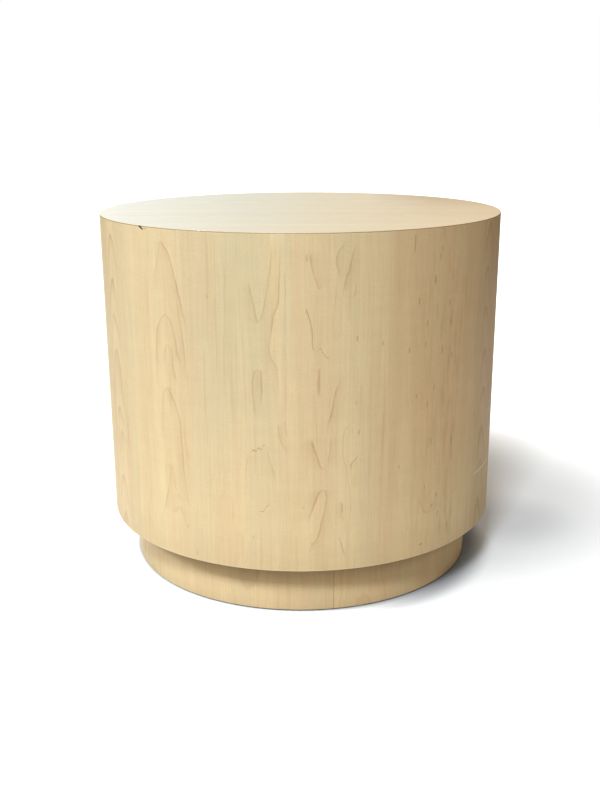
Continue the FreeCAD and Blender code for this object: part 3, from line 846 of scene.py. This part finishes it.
def board_finish(name, chart, ply, roughness, upright):
    """Bare board: grain on its faces, and darker plies where its edges show.

    A level board has its grain along X and its plies one over another. An upright one has its grain along Z,
    and its plies or growth rings lie one round another.
    """
    material, graph, shader = new_finish(name)
    place = graph.parts(graph.place())
    across = round_the_axis(graph, place) if upright else place["Y"]
    along = place["Z"] if upright else place["X"]
    through = distance_out(graph, place) if upright else place["Z"]
    fibre = graph.group(wood_fibre, Across=across, Along=along, Streak_width=2.5 * MM)
    dark = darker(chart, 0.72)
    face = graph.mix(fibre["Streak"], chart, dark, part=0.35)
    face = graph.mix(fibre["Pore"], face, dark, part=0.4)
    pairs = graph.math("MULTIPLY", graph.math("DIVIDE", through, ply), 0.5)
    cross_ply = graph.math("GREATER_THAN", graph.math("FRACT", pairs), 0.5)
    edge = graph.mix(cross_ply, chart, darker(chart, 0.5), part=0.55)
    normal = graph.parts(graph.node("ShaderNodeNewGeometry").outputs["Normal"])
    flat = graph.fade(graph.math("ABSOLUTE", normal["Z"]), 0.4, 0.6)
    shows_edge = flat if upright else graph.math("SUBTRACT", 1.0, flat)
    wood = graph.mix(shows_edge, face, edge)
    grime = graph.group(handling_grime, Patch_size=60 * MM)
    wood = graph.mix(grime["Grime"], wood, dark, part=0.2)
    rough = graph.math("ADD", grime["Roughness"], roughness)
    set_surface(graph, shader, wood, rough, fibre["Streak"], depth=0.15 * MM, strength=0.5)
    return material


def birch_board(name):
    """Birch plywood of the rings, ribs and bottom panel."""
    chart = bpy.context.scene.table_finish.birch[:]
    return board_finish(name, chart, ply=2.0 * MM, roughness=0.62, upright=False)


def rolled_ply(name):
    """Three-ply bending plywood rolled round the frame."""
    chart = bpy.context.scene.table_finish.bending_ply[:]
    return board_finish(name, chart, ply=1.7 * MM, roughness=0.7, upright=True)


def planed_pine(name):
    """Planed pine of the stiles and blocks, with growth rings on the sawn ends."""
    chart = bpy.context.scene.table_finish.pine[:]
    return board_finish(name, chart, ply=2.4 * MM, roughness=0.55, upright=True)


def pressed_chips(name):
    """Pressed chips of the table top's particle board."""
    chart = bpy.context.scene.table_finish.chipboard[:]
    material, graph, shader = new_finish(name)
    inputs = {"Vector": graph.place(), "Scale": 240.0, "Randomness": 1.0}
    chips = graph.node("ShaderNodeTexVoronoi", inputs).outputs
    paint = graph.mix(graph.parts(chips["Color"])["X"], chart, darker(chart, 0.45), part=0.8)
    grime = graph.group(handling_grime, Patch_size=40 * MM)
    rough = graph.math("ADD", grime["Roughness"], 0.8)
    set_surface(graph, shader, paint, rough, chips["Distance"], depth=0.2 * MM, strength=0.6)
    return material


def moulded_nylon(name):
    """Black moulded nylon, scuffed grey in places."""
    finish = bpy.context.scene.table_finish
    material, graph, shader = new_finish(name)
    grime = graph.group(handling_grime, Patch_size=5 * MM)
    paint = graph.mix(grime["Grime"], finish.nylon[:], finish.nylon_scuff[:], part=0.4)
    rough = graph.math("ADD", grime["Roughness"], 0.5)
    pebbles = graph.noise(graph.place(), detail=1.0, scale=1800.0)
    set_surface(graph, shader, paint, rough, pebbles, depth=0.03 * MM, strength=0.4)
    return material


DECOR, CORE, CHIPPED, BRUISED = range(4)
WORN_FINISHES = (laminate_core, chipped_core, bruised_decor)  # finishes of a sheet after its decor

# Finish of the nodes that stay as they come, by the first of these words that a node's name holds
BOARD_FINISHES = {
    "top_core": pressed_chips,
    "_ply": rolled_ply,
    "stile": planed_pine,
    "block": planed_pine,
    "nuts": zinc_plate,
    "pad": moulded_nylon,
    "": birch_board,
}


def point_at(radius, turn, height):
    """The point at a radius from the drum's axis and a turn from the front."""
    return radius * math.sin(turn), -radius * math.cos(turn), height


def spaced(low, high, step):
    """Evenly spaced values between two ends, which are left out."""
    count = math.ceil((high - low) / step)
    return [low + (high - low) * i / count for i in range(1, count)]


def add_band(made, row, next_row):
    """The faces between two closed rows of vertices."""
    corners = zip(row, row[1:] + row[:1], next_row[1:] + next_row[:1], next_row)
    return [made.faces.new(four) for four in corners]


def link_mesh(name, made, materials):
    """Links a finished mesh with its materials as an object."""
    mesh = bpy.data.meshes.new(name)
    made.to_mesh(mesh)
    made.free()
    for material in materials:
        mesh.materials.append(material)
    linked = bpy.data.objects.new(name, mesh)
    bpy.context.scene.collection.objects.link(linked)
    return linked


def new_piece(name, made, finishes, node, body="table"):
    """Links a finished mesh as a piece that stands for a CAD node and rides its body."""
    bmesh.ops.recalc_face_normals(made, faces=made.faces)
    piece = link_mesh(name, made, [finish_of(make) for make in finishes])
    piece.data.shade_smooth()
    piece.data.set_sharp_from_angle(angle=SHARP_EDGE)
    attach(piece, body)
    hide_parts(node)


class Sheet:
    """A rolled laminate sheet, measured from its CAD node."""

    def __init__(self, node):
        points = [vertex.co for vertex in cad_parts[node].data.vertices]
        low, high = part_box(node)
        self.low = low.z
        self.high = high.z
        self.outer = max(point.xy.length for point in points)
        self.inner = min(point.xy.length for point in points)
        angles = sorted(math.atan2(point.x, -point.y) % math.tau for point in points)
        following = angles[1:] + [angles[0] + math.tau]
        opening, last = max((after - before, before) for before, after in zip(angles, following))
        self.sweep = math.tau - opening
        start = (last + opening) % math.tau
        self.start = start - math.tau if start > math.pi else start

    def section(self, ease, rows):
        """(radius, height) points round the sheet's section, from its inner foot up to its inner head."""
        foot = [
            (self.outer - ease * (1 - math.sin(turn)), self.low + ease * (1 - math.cos(turn)))
            for turn in QUARTER_ROUND
        ]
        head = [(radius, self.low + self.high - height) for radius, height in reversed(foot)]
        wall = [(self.outer, height) for height in rows]
        return [(self.inner, self.low)] + foot + wall + head + [(self.inner, self.high)]

    def columns(self, step, ease, fine):
        """(angle, drop) of the mesh's columns; the drop rounds the sheet's two ends."""
        count = math.ceil(self.sweep / step)
        angles = {self.start + self.sweep * i / count for i in range(count + 1)}
        rounding = {}
        for turn in QUARTER_ROUND:
            inset = ease * (1 - math.cos(turn)) / self.outer
            drop = ease * (1 - math.sin(turn))
            rounding[self.start + inset] = drop
            rounding[self.start + self.sweep - inset] = drop
        return [(place, rounding.get(place, 0.0)) for place in sorted(angles.union(fine, rounding))]


def chip_share(across, height):
    """How much a point of the rim is chipped and how much it is bruised, each from 0 to 1."""
    sizes = bpy.context.scene.table_sheets
    right = across - sizes.chip_across
    up = height - (cad_high.z - sizes.chip_drop)
    long_way = (right * math.cos(CHIP_SLANT) + up * math.sin(CHIP_SLANT)) / (sizes.chip_length / 2)
    short_way = (up * math.cos(CHIP_SLANT) - right * math.sin(CHIP_SLANT)) / (sizes.chip_height / 2)
    chipped = max(0.0, 1 - long_way**2 - short_way**2)
    beside = (right / sizes.chip_length - BRUISE_PLACE[0]) / BRUISE_REACH[0]
    level = (up / sizes.chip_height - BRUISE_PLACE[1]) / BRUISE_REACH[1]
    bruised = max(0.0, 1 - beside**2 - level**2)
    return chipped, bruised


def chip_columns(radius):
    """Close columns where the rim is chipped."""
    sizes = bpy.context.scene.table_sheets
    first, last = ((sizes.chip_across + end * sizes.chip_length) / radius for end in CLOSE_COLUMNS)
    return spaced(first, last, CLOSE_COLUMN / radius)


def worn_finish(across, height, plain):
    """Which of a sheet's finishes a face of the rim takes."""
    chipped, bruised = chip_share(across, height)
    if chipped > WORN:
        return CHIPPED
    return BRUISED if bruised > WORN else plain


def rolled_sheet(sheet, decor, name, node, rows, fine=(), chipped=False):
    """A rolled sheet as a closed mesh, with its grain map and, if asked for, the chip in its upper edge."""
    sizes = bpy.context.scene.table_sheets
    section = sheet.section(sizes.eased_edge, rows)
    columns = sheet.columns(sizes.column, sizes.eased_edge, fine)
    made = bmesh.new()
    grain = made.loops.layers.uv.new(GRAIN_MAP)
    grid = []
    for place, drop in columns:
        line = []
        for radius, height in section:
            out = radius
            if radius > sheet.inner:
                bite = chip_share(place * sheet.outer, height)[0] * sizes.chip_depth if chipped else 0.0
                out = max(radius - max(drop, bite), sheet.inner + LEAST_SHEET)
            line.append(made.verts.new(point_at(out, place, height)))
        grid.append(line)
    last = len(section) - 1
    for (place, _), (next_place, _), line, next_line in zip(columns, columns[1:], grid, grid[1:]):
        middle = (place + next_place) / 2 * sheet.outer
        for i in range(len(section)):
            j = (i + 1) % len(section)
            face = made.faces.new((line[i], next_line[i], next_line[j], line[j]))
            low, high = section[i][1], section[j][1]
            plain = CORE if i in (0, last - 1, last) else DECOR
            face.material_index = worn_finish(middle, (low + high) / 2, plain) if chipped else plain
            ends = (place, next_place, next_place, place)
            for loop, end, height in zip(face.loops, ends, (low, low, high, high)):
                loop[grain].uv = (end * sheet.outer, height)
    for (place, _), line in ((columns[0], grid[0]), (columns[-1], grid[-1])):
        face = made.faces.new(line)
        face.material_index = CORE
        for loop, (_, height) in zip(face.loops, section):
            loop[grain].uv = (place * sheet.outer, height)
    new_piece(name, made, (decor,) + WORN_FINISHES, node)


def top_section(low, high, foot_radius, head_radius):
    """(radius, height) points of the top sheet: up its leaning edge, round the arris and in over its face."""
    decor_foot = high - bpy.context.scene.table_sheets.decor_layer
    lean = (foot_radius - head_radius) / (high - low)
    edge = (low, low + 0.35 * MM, low + 0.7 * MM, decor_foot)
    section = [(foot_radius - lean * (height - low), height) for height in edge]
    section += [(head_radius - 0.02 * MM, high - 0.05 * MM), (head_radius - 0.1 * MM, high)]
    return section + [(head_radius - inset * MM, high) for inset in (0.7, 1.5, 4, 60, 150)]


class DRUM_TABLE_OT_lay_top(bpy.types.Operator):
    """Lays the laminate on the table top, with its trimmed rim and chip"""

    bl_idname = "drum_table.lay_top"
    bl_label = "Lay top sheet"

    def execute(self, context):
        sizes = context.scene.table_sheets
        node = "top_laminate"
        low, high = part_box(node)
        foot_radius = high.x
        points = [vertex.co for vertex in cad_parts[node].data.vertices]
        head_radius = min(point.xy.length for point in points if point.z > high.z - 0.1 * MM)
        section = top_section(low.z, high.z, foot_radius, head_radius)
        count = math.ceil(math.tau / sizes.column)
        places = {-math.pi + math.tau * i / count for i in range(count)}
        places = sorted(places.union(chip_columns(foot_radius)))
        made = bmesh.new()
        grain = made.loops.layers.uv.new(GRAIN_MAP)
        rings = []
        for radius, height in section:
            depth = sizes.chip_depth if radius > head_radius - CHIP_REACH else 0.0
            ring = []
            for place in places:
                bite = chip_share(place * foot_radius, height - CHIP_LIFT)[0] * depth
                ring.append(made.verts.new(point_at(radius - bite, place, height)))
            rings.append(ring)
        middle_low = made.verts.new((0, 0, low.z))
        middle_high = made.verts.new((0, 0, high.z))
        for (_, foot), (radius, head), ring, next_ring in zip(section, section[1:], rings, rings[1:]):
            plain = CORE if head <= high.z - sizes.decor_layer else DECOR
            on_rim = radius > head_radius - 1 * MM
            middle = (foot + head) / 2 - CHIP_LIFT
            for face, place in zip(add_band(made, ring, next_ring), places):
                face.material_index = worn_finish(place * foot_radius, middle, plain) if on_rim else plain
        for i in range(len(places)):
            j = (i + 1) % len(places)
            made.faces.new((middle_low, rings[0][j], rings[0][i])).material_index = CORE
            made.faces.new((middle_high, rings[-1][i], rings[-1][j])).material_index = DECOR
        for face in made.faces:
            for loop in face.loops:
                loop[grain].uv = (loop.vert.co.y, loop.vert.co.x)
        new_piece("top_sheet", made, (top_maple,) + WORN_FINISHES, node)
        return {"FINISHED"}


class DRUM_TABLE_OT_wrap_drum(bpy.types.Operator):
    """Wraps the drum's wall in its front and back sheets"""

    bl_idname = "drum_table.wrap_drum"
    bl_label = "Wrap drum"

    def execute(self, context):
        front = Sheet("drum_laminate_front")
        back = Sheet("drum_laminate_back")
        chip_foot = front.high - CHIP_ROWS
        rows = spaced(front.low, chip_foot, WALL_ROW)
        eased_foot = front.high - context.scene.table_sheets.eased_edge
        close_rows = rows + spaced(chip_foot, eased_foot, CLOSE_ROW)
        fine = chip_columns(front.outer)
        rolled_sheet(
            front, drum_maple, "drum_sheet_front", "drum_laminate_front", close_rows, fine, chipped=True
        )
        rolled_sheet(back, drum_maple, "drum_sheet_back", "drum_laminate_back", rows)
        return {"FINISHED"}


class DRUM_TABLE_OT_wrap_plinth(bpy.types.Operator):
    """Wraps the plinth's wall in its long and short sheets"""

    bl_idname = "drum_table.wrap_plinth"
    bl_label = "Wrap plinth"

    def execute(self, context):
        for kind in ("long", "short"):
            node = f"plinth_laminate_{kind}"
            sheet = Sheet(node)
            rows = spaced(sheet.low, sheet.high, PLINTH_ROW)
            rolled_sheet(sheet, plinth_maple, f"plinth_sheet_{kind}", node, rows)
        return {"FINISHED"}


class DRUM_TABLE_OT_finish_boards(bpy.types.Operator):
    """Gives the boards, plies, nuts and pads that stay from the frame their finishes"""

    bl_idname = "drum_table.finish_boards"
    bl_label = "Finish boards and fittings"

    def execute(self, context):
        for name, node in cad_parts.items():
            if any(word in name for word in ("laminate", "screws", "stem")):
                continue
            make = next(make for word, make in BOARD_FINISHES.items() if word in name)
            node.data.materials.clear()
            node.data.materials.append(finish_of(make))
        return {"FINISHED"}


def add_ring(made, move, points):
    """Vertices at points that are moved into place."""
    return [made.verts.new(move @ Vector(point)) for point in points]


def add_shell(made, rings, move):
    """A closed shell through rings of points, capped at both ends."""
    rows = [add_ring(made, move, ring) for ring in rings]
    for row, next_row in zip(rows, rows[1:]):
        add_band(made, row, next_row)
    made.faces.new(rows[0])
    made.faces.new(rows[-1])


def circle(radius, height, count):
    """Points round a circle; the radius may be a function of the angle."""
    turns = [math.tau * i / count for i in range(count)]
    return [point_at(radius(turn) if callable(radius) else radius, turn, height) for turn in turns]


def thread_rings(crest, depth, pitch, low, high, count, steps, limit):
    """Rings of a right-hand thread between two heights; limit gives the largest radius at a height."""
    rings = []
    flat = 0.125
    rows = math.ceil((high - low) / pitch * steps)
    for row in range(rows + 1):
        height = low + (high - low) * row / rows

        def radius(turn, height=height):
            rise = (height / pitch - turn / math.tau) % 1.0
            flank = min(max((abs(2 * rise - 1) - flat) / (1 - 2 * flat), 0.0), 1.0)
            return min(crest - depth * (1 - flank), limit(height))

        rings.append(circle(radius, height, count))
    return rings


def hexagon_rings(flat, low, high):
    """Rings of a hexagon with corners rounded by a cone at both ends; flat is half its span across flats."""
    rings = []
    land = 0.05 * MM
    lower_rows = (0, 0.04, 0.09, 0.15, 0.22, 0.3)
    for part in lower_rows + tuple(1 - row for row in reversed(lower_rows)):
        cone = flat + land + min(part, 1 - part) * (high - low) * math.sqrt(3)

        def radius(turn, cone=cone):
            from_flat = (turn + math.pi / 3) % (math.pi / 3) - math.pi / 6
            return min(flat / math.cos(from_flat), cone)

        rings.append(circle(radius, low + part * (high - low), 72))
    return rings


class DRUM_TABLE_OT_turn_stems(bpy.types.Operator):
    """Turns the threaded stems of the levelling glides"""

    bl_idname = "drum_table.turn_stems"
    bl_label = "Turn glide stems"

    def execute(self, context):
        sizes = context.scene.table_hardware
        thread = sizes.stem_diameter / 2
        foot = sizes.foot_diameter / 2
        neck = sizes.neck_diameter / 2
        ease = 0.4 * MM
        chamfer = 1.0 * MM
        neck_lap = 0.5 * MM
        thread_lap = 0.3 * MM
        hexagon = hexagon_rings(sizes.hexagon_flats / 2, sizes.hexagon_low, sizes.hexagon_high)
        for i in range(1, 5):
            node = f"leveller_stem_{i}"
            low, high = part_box(node)
            middle = (low + high) / 2
            facing = math.atan2(middle.x, -middle.y)
            move = Matrix.Translation((middle.x, middle.y, 0)) @ Matrix.Rotation(facing, 4, "Z")
            made = bmesh.new()
            foot_top = low.z + sizes.foot_thickness
            profile = [(foot - ease, low.z), (foot, low.z + ease), (foot, foot_top - ease)]
            profile += [(foot - ease, foot_top), (neck, foot_top), (neck, sizes.hexagon_low + neck_lap)]
            add_shell(made, [circle(radius, height, 48) for radius, height in profile], move)
            add_shell(made, hexagon, move)
            rings = thread_rings(
                thread,
                sizes.stem_thread_depth,
                sizes.stem_pitch,
                low=sizes.hexagon_high - thread_lap,
                high=high.z,
                count=36,
                steps=8,
                limit=lambda height: thread - max(0.0, height - (high.z - chamfer)),
            )
            add_shell(made, rings, move)
            new_piece(f"glide_stem_{i}", made, (zinc_plate,), node, body=f"stem_{i}")
        return {"FINISHED"}


def screw_places(node):
    """(x, y, tip height, head height, head radius) of every screw of a node."""
    shape = bmesh.new()
    shape.from_mesh(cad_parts[node].data)
    bmesh.ops.remove_doubles(shape, verts=shape.verts, dist=1e-6)
    left = set(shape.verts)
    places = []
    while left:
        found = [left.pop()]
        for vertex in found:
            for edge in vertex.link_edges:
                other = edge.other_vert(vertex)
                if other in left:
                    left.remove(other)
                    found.append(other)
        points = [vertex.co for vertex in found]
        lows = [min(point[axis] for point in points) for axis in range(3)]
        highs = [max(point[axis] for point in points) for axis in range(3)]
        x, y, middle = ((low + high) / 2 for low, high in zip(lows, highs))
        radius = max(math.hypot(point.x - x, point.y - y) for point in points)
        widest = max(points, key=lambda point: round(math.hypot(point.x - x, point.y - y), 6))
        tip, head = (lows[2], highs[2]) if widest.z > middle else (highs[2], lows[2])
        places.append((x, y, tip, head, radius))
    shape.free()
    return sorted(places)


def add_screw(made, x, y, tip, head, head_radius, turn):
    """A countersunk wood screw with a cross recess."""
    sizes = bpy.context.scene.table_hardware
    reach = abs(head - tip)
    point_length = 5 * MM
    neck_height = -2.6 * MM
    thread_top = -2.4 * MM
    shank = head_radius / 2
    flip = Matrix.Rotation(0 if head > tip else math.pi, 4, "X")
    move = Matrix.Translation((x, y, head)) @ flip @ Matrix.Rotation(turn, 4, "Z")
    count = 24
    rim = add_ring(made, move, circle(head_radius - 0.1 * MM, 0, count))
    lower_rim = add_ring(made, move, circle(head_radius, -0.2 * MM, count))
    neck = add_ring(made, move, circle(shank * 0.9, neck_height, count))
    add_band(made, lower_rim, rim)
    add_band(made, neck, lower_rim)
    made.faces.new(neck)
    half = sizes.screw_recess / 2
    slot = 0.24 * half
    outline = []
    for k in range(4):
        spin = Matrix.Rotation(k * math.pi / 2, 2)
        outline += [spin @ Vector(corner) for corner in ((slot, slot), (slot, half), (-slot, half))]
    narrowing = 0.55
    top = add_ring(made, move, [(*corner, 0) for corner in outline])
    floor = add_ring(made, move, [(*(narrowing * corner), -sizes.screw_recess_depth) for corner in outline])
    edges = []
    for loop in (rim, top):
        for pair in zip(loop, loop[1:] + loop[:1]):
            edges.append(made.edges.get(pair) or made.edges.new(pair))
    bmesh.ops.triangle_fill(made, edges=edges, use_beauty=True)
    add_band(made, top, floor)
    made.faces.new(floor)

    def taper(height):
        return max(0.05 * MM, shank * min(1.0, (height + reach) / point_length))

    depth = shank - sizes.screw_root / 2
    rings = thread_rings(shank, depth, sizes.screw_pitch, -reach, thread_top, count=12, steps=4, limit=taper)
    add_shell(made, rings, move)


class DRUM_TABLE_OT_drive_screws(bpy.types.Operator):
    """Drives the countersunk screws of the frame, the top and the plinth"""

    bl_idname = "drum_table.drive_screws"
    bl_label = "Drive screws"

    def execute(self, context):
        golden_turn = math.pi * (3 - math.sqrt(5))
        for node in ("stile_screws", "top_screws", "plinth_screws", "block_screws"):
            made = bmesh.new()
            for i, place in enumerate(screw_places(node)):
                add_screw(made, *place, turn=i * golden_turn)
            new_piece(f"{node}_threaded", made, (zinc_plate,), node)
        return {"FINISHED"}


def add_lamp(name, watts, size, place, target, tint=WHITE):
    """A soft rectangular lamp that looks at a point."""
    lamp = bpy.data.lights.new(name, "AREA")
    lamp.shape = "RECTANGLE"
    lamp.size, lamp.size_y = size
    lamp.energy = watts
    lamp.color = tint[:3]
    holder = bpy.data.objects.new(name, lamp)
    holder.location = place
    holder.rotation_euler = (Vector(target) - Vector(place)).to_track_quat("-Z", "Y").to_euler()
    bpy.context.scene.collection.objects.link(holder)
    return holder


def white_rays(graph):
    """1 for the rays that show the white background: from the camera, a mirror or glass."""
    path = graph.node("ShaderNodeLightPath").outputs
    seen = graph.math("MAXIMUM", path["Is Camera Ray"], path["Is Glossy Ray"])
    return graph.math("MAXIMUM", seen, path["Is Transmission Ray"])


def light_world(settings):
    """White surroundings: plain white to look at, brighter from the window side and from above as light."""
    world = bpy.data.worlds.new("Studio")
    bpy.context.scene.world = world
    world.use_nodes = True
    graph = Graph(world.node_tree)
    towards = graph.node("ShaderNodeTexCoord").outputs["Generated"]
    window = graph.vector("DOT_PRODUCT", towards, point_at(1.0, settings.window_side, 0.0))
    light = graph.math("MULTIPLY_ADD", window, settings.window_light, settings.ambient)
    light = graph.math("MULTIPLY_ADD", graph.parts(towards)["Z"], settings.sky_light, light)
    light = graph.math("MAXIMUM", light, settings.darkest)
    tint = graph.mix(graph.fade(window, -0.3, 0.8), settings.room_tint[:], WHITE)
    paint = graph.mix(white_rays(graph), graph.graded(tint, light), WHITE)
    graph.feed(world.node_tree.nodes["Background"].inputs["Color"], paint)


def card_glow(name, stops):
    """Material of a card: it glows in the colours of its stops, one after another."""
    material = bpy.data.materials.new(name)
    material.use_nodes = True
    nodes = material.node_tree.nodes
    nodes.remove(nodes["Principled BSDF"])
    graph = Graph(material.node_tree)
    ramp = graph.node("ShaderNodeValToRGB", {"Fac": sheet_place(graph)[0]})
    elements = ramp.color_ramp.elements
    while len(elements) < len(stops):
        elements.new(0.5)
    first, last = stops[0][0], stops[-1][0]
    for element, (place, chart) in zip(elements, stops):
        element.position = (place - first) / (last - first)
        element.color = linear(*chart)
    glow = graph.node("ShaderNodeEmission", {"Color": ramp.outputs["Color"], "Strength": CARD_STRENGTH})
    graph.feed(nodes["Material Output"].inputs["Surface"], glow.outputs[0])
    return material


def reflection_card(name, radius, height, stops):
    """A card round the table, from its first stop to its last, that shows only in the table's gloss."""
    first, last = math.radians(stops[0][0]), math.radians(stops[-1][0])
    made = bmesh.new()
    spread = made.loops.layers.uv.new(GRAIN_MAP)
    turns = [first + (last - first) * i / CARD_COLUMNS for i in range(CARD_COLUMNS + 1)]
    pairs = [[made.verts.new(point_at(radius, turn, z)) for z in (0, height)] for turn in turns]
    for i, ((foot, head), (next_foot, next_head)) in enumerate(zip(pairs, pairs[1:])):
        face = made.faces.new((foot, next_foot, next_head, head))
        for loop, step in zip(face.loops, (i, i + 1, i + 1, i)):
            loop[spread].uv = (step / CARD_COLUMNS, 0.5)
    card = link_mesh(name, made, (card_glow(name, stops),))
    card.visible_camera = False
    card.visible_diffuse = False
    card.visible_transmission = False
    card.visible_shadow = False


def studio_floor(settings):
    """White floor that keeps the table's shadow and runs out into the white background.

    To look at, it glows white outside the shadow, a painted light that shapes the shadow's edge, and has
    painted shadow, darker and cooler, in its depth and beside the plinth at the right. As light on the table,
    it is dimmer away from the table and at the right.
    """
    material, graph, shader = new_finish(
        "studio_floor", Roughness=0.9, Specular_IOR_Level=0.0, Emission_Strength=1.0
    )
    spot = graph.place()
    place = graph.parts(spot)
    out = distance_out(graph, place)
    # Painted light: the floor glows whiter away from the shadow's middle
    painted_light_fade = graph.fade(graph.vector("DISTANCE", spot, SHADOW_MIDDLE), *SHADOW_FADE)
    # Painted shadow: darker and cooler in the shadow's depth and beside the plinth at the right
    deep = graph.fade(graph.vector("DISTANCE", spot, SHADOW_DEPTH), *DEPTH_FADE)
    close = graph.product(graph.fade(out, *CONTACT_FADE), graph.fade(place["X"], *CONTACT_RIGHT))
    open_floor = graph.product(graph.fade(out, *PLINTH_FOOT), graph.math("SUBTRACT", 1.0, close))
    shaded = graph.mix(graph.math("MAXIMUM", deep, close), settings.floor[:], settings.floor_shade[:])
    dust = graph.noise(graph.point(place["X"], place["Y"]), detail=3.0, scale=30.0)
    seen = white_rays(graph)
    bounce = graph.mix(graph.fade(out, *FAR_FLOOR), settings.floor_bounce[:], settings.floor_rest[:])
    bounce = graph.mix(graph.fade(place["X"], *RIGHT_FLOOR), bounce, settings.floor_rest[:])
    bounce = graph.mix(graph.fade(out, *UNDER_DRUM), bounce, settings.floor_under[:])
    paint = graph.graded(graph.mix(seen, bounce, shaded), graph.remap(dust, 0.3, 0.7, 0.99, 1.0))
    graph.feed(shader.inputs["Base Color"], paint)
    glow = graph.product(seen, painted_light_fade, open_floor)
    graph.feed(shader.inputs["Emission Color"], graph.point(glow, glow, glow))
    return material


def add_camera(settings):
    """The scene's camera."""
    camera = bpy.data.objects.new("camera", bpy.data.cameras.new("camera"))
    camera.data.lens = settings.lens
    camera.data.sensor_width = 36.0
    camera.location = (settings.camera_aside, -settings.camera_distance, settings.camera_height)
    tilt = Matrix.Rotation(math.pi / 2 - settings.camera_tilt, 3, "X")
    camera.rotation_euler = (tilt @ Matrix.Rotation(settings.camera_roll, 3, "Z")).to_euler()
    bpy.context.scene.collection.objects.link(camera)
    bpy.context.scene.camera = camera


class DRUM_TABLE_OT_set_stage(bpy.types.Operator):
    """Sets the floor, the lamps and the camera"""

    bl_idname = "drum_table.set_stage"
    bl_label = "Set stage"

    def execute(self, context):
        settings = context.scene.table_studio
        context.scene.view_settings.view_transform = "Standard"
        made = bmesh.new()
        bmesh.ops.create_circle(made, cap_ends=True, radius=FLOOR_RADIUS, segments=96)
        floor = link_mesh("studio_floor", made, (studio_floor(settings),))
        floor.location.z = cad_low.z - FLOOR_GAP
        light_world(settings)
        middle = Vector((0, 0, cad_high.z / 2))
        for kind in ("left", "front"):
            side, rise, watts = (getattr(settings, f"{kind}_{value}") for value in ("side", "rise", "power"))
            far = settings.lamp_distance
            place = middle + Vector(point_at(far * math.cos(rise), side, far * math.sin(rise)))
            add_lamp(f"{kind}_lamp", watts, (settings.lamp_size, settings.lamp_size), place, middle)
        back_lamp = add_lamp(
            "back_lamp", settings.back_power, BACK_LAMP_SIZE, BACK_LAMP_PLACE, middle, settings.room_tint
        )
        back_lamp.visible_glossy = False
        for name, card in CARDS.items():
            reflection_card(name, *card)
        add_camera(settings)
        return {"FINISHED"}


class DRUM_TABLE_PT_build(bpy.types.Panel):
    """Lists the steps that dress the table"""

    bl_label = "Drum Side Table"
    bl_idname = "DRUM_TABLE_PT_build"
    bl_space_type = "VIEW_3D"
    bl_region_type = "UI"
    bl_category = "Drum Table"

    def draw(self, context):
        for step in STEPS:
            self.layout.operator(step.bl_idname)
        for settings in SETTINGS:
            box = self.layout.box()
            holder = getattr(context.scene, settings)
            for key in holder.__annotations__:
                box.prop(holder, key)


STEPS = (
    DRUM_TABLE_OT_lay_top,
    DRUM_TABLE_OT_wrap_drum,
    DRUM_TABLE_OT_wrap_plinth,
    DRUM_TABLE_OT_finish_boards,
    DRUM_TABLE_OT_turn_stems,
    DRUM_TABLE_OT_drive_screws,
    DRUM_TABLE_OT_set_stage,
)
SETTINGS = {
    "table_sheets": SheetSettings,
    "table_finish": FinishSettings,
    "table_hardware": HardwareSettings,
    "table_studio": StudioSettings,
}


def register():
    """Registers the settings, the steps and the panel."""
    for name, settings in SETTINGS.items():
        bpy.utils.register_class(settings)
        setattr(bpy.types.Scene, name, PointerProperty(type=settings))
    for step in STEPS:
        bpy.utils.register_class(step)
    bpy.utils.register_class(DRUM_TABLE_PT_build)


def unregister():
    """Takes everything back that register added."""
    bpy.utils.unregister_class(DRUM_TABLE_PT_build)
    for step in reversed(STEPS):
        bpy.utils.unregister_class(step)
    for name, settings in SETTINGS.items():
        delattr(bpy.types.Scene, name)
        bpy.utils.unregister_class(settings)


def main():
    """Dresses the table step by step."""
    register()
    for step in STEPS:
        family, _, name = step.bl_idname.partition(".")
        getattr(getattr(bpy.ops, family), name)()


if __name__ == "__main__":
    main()
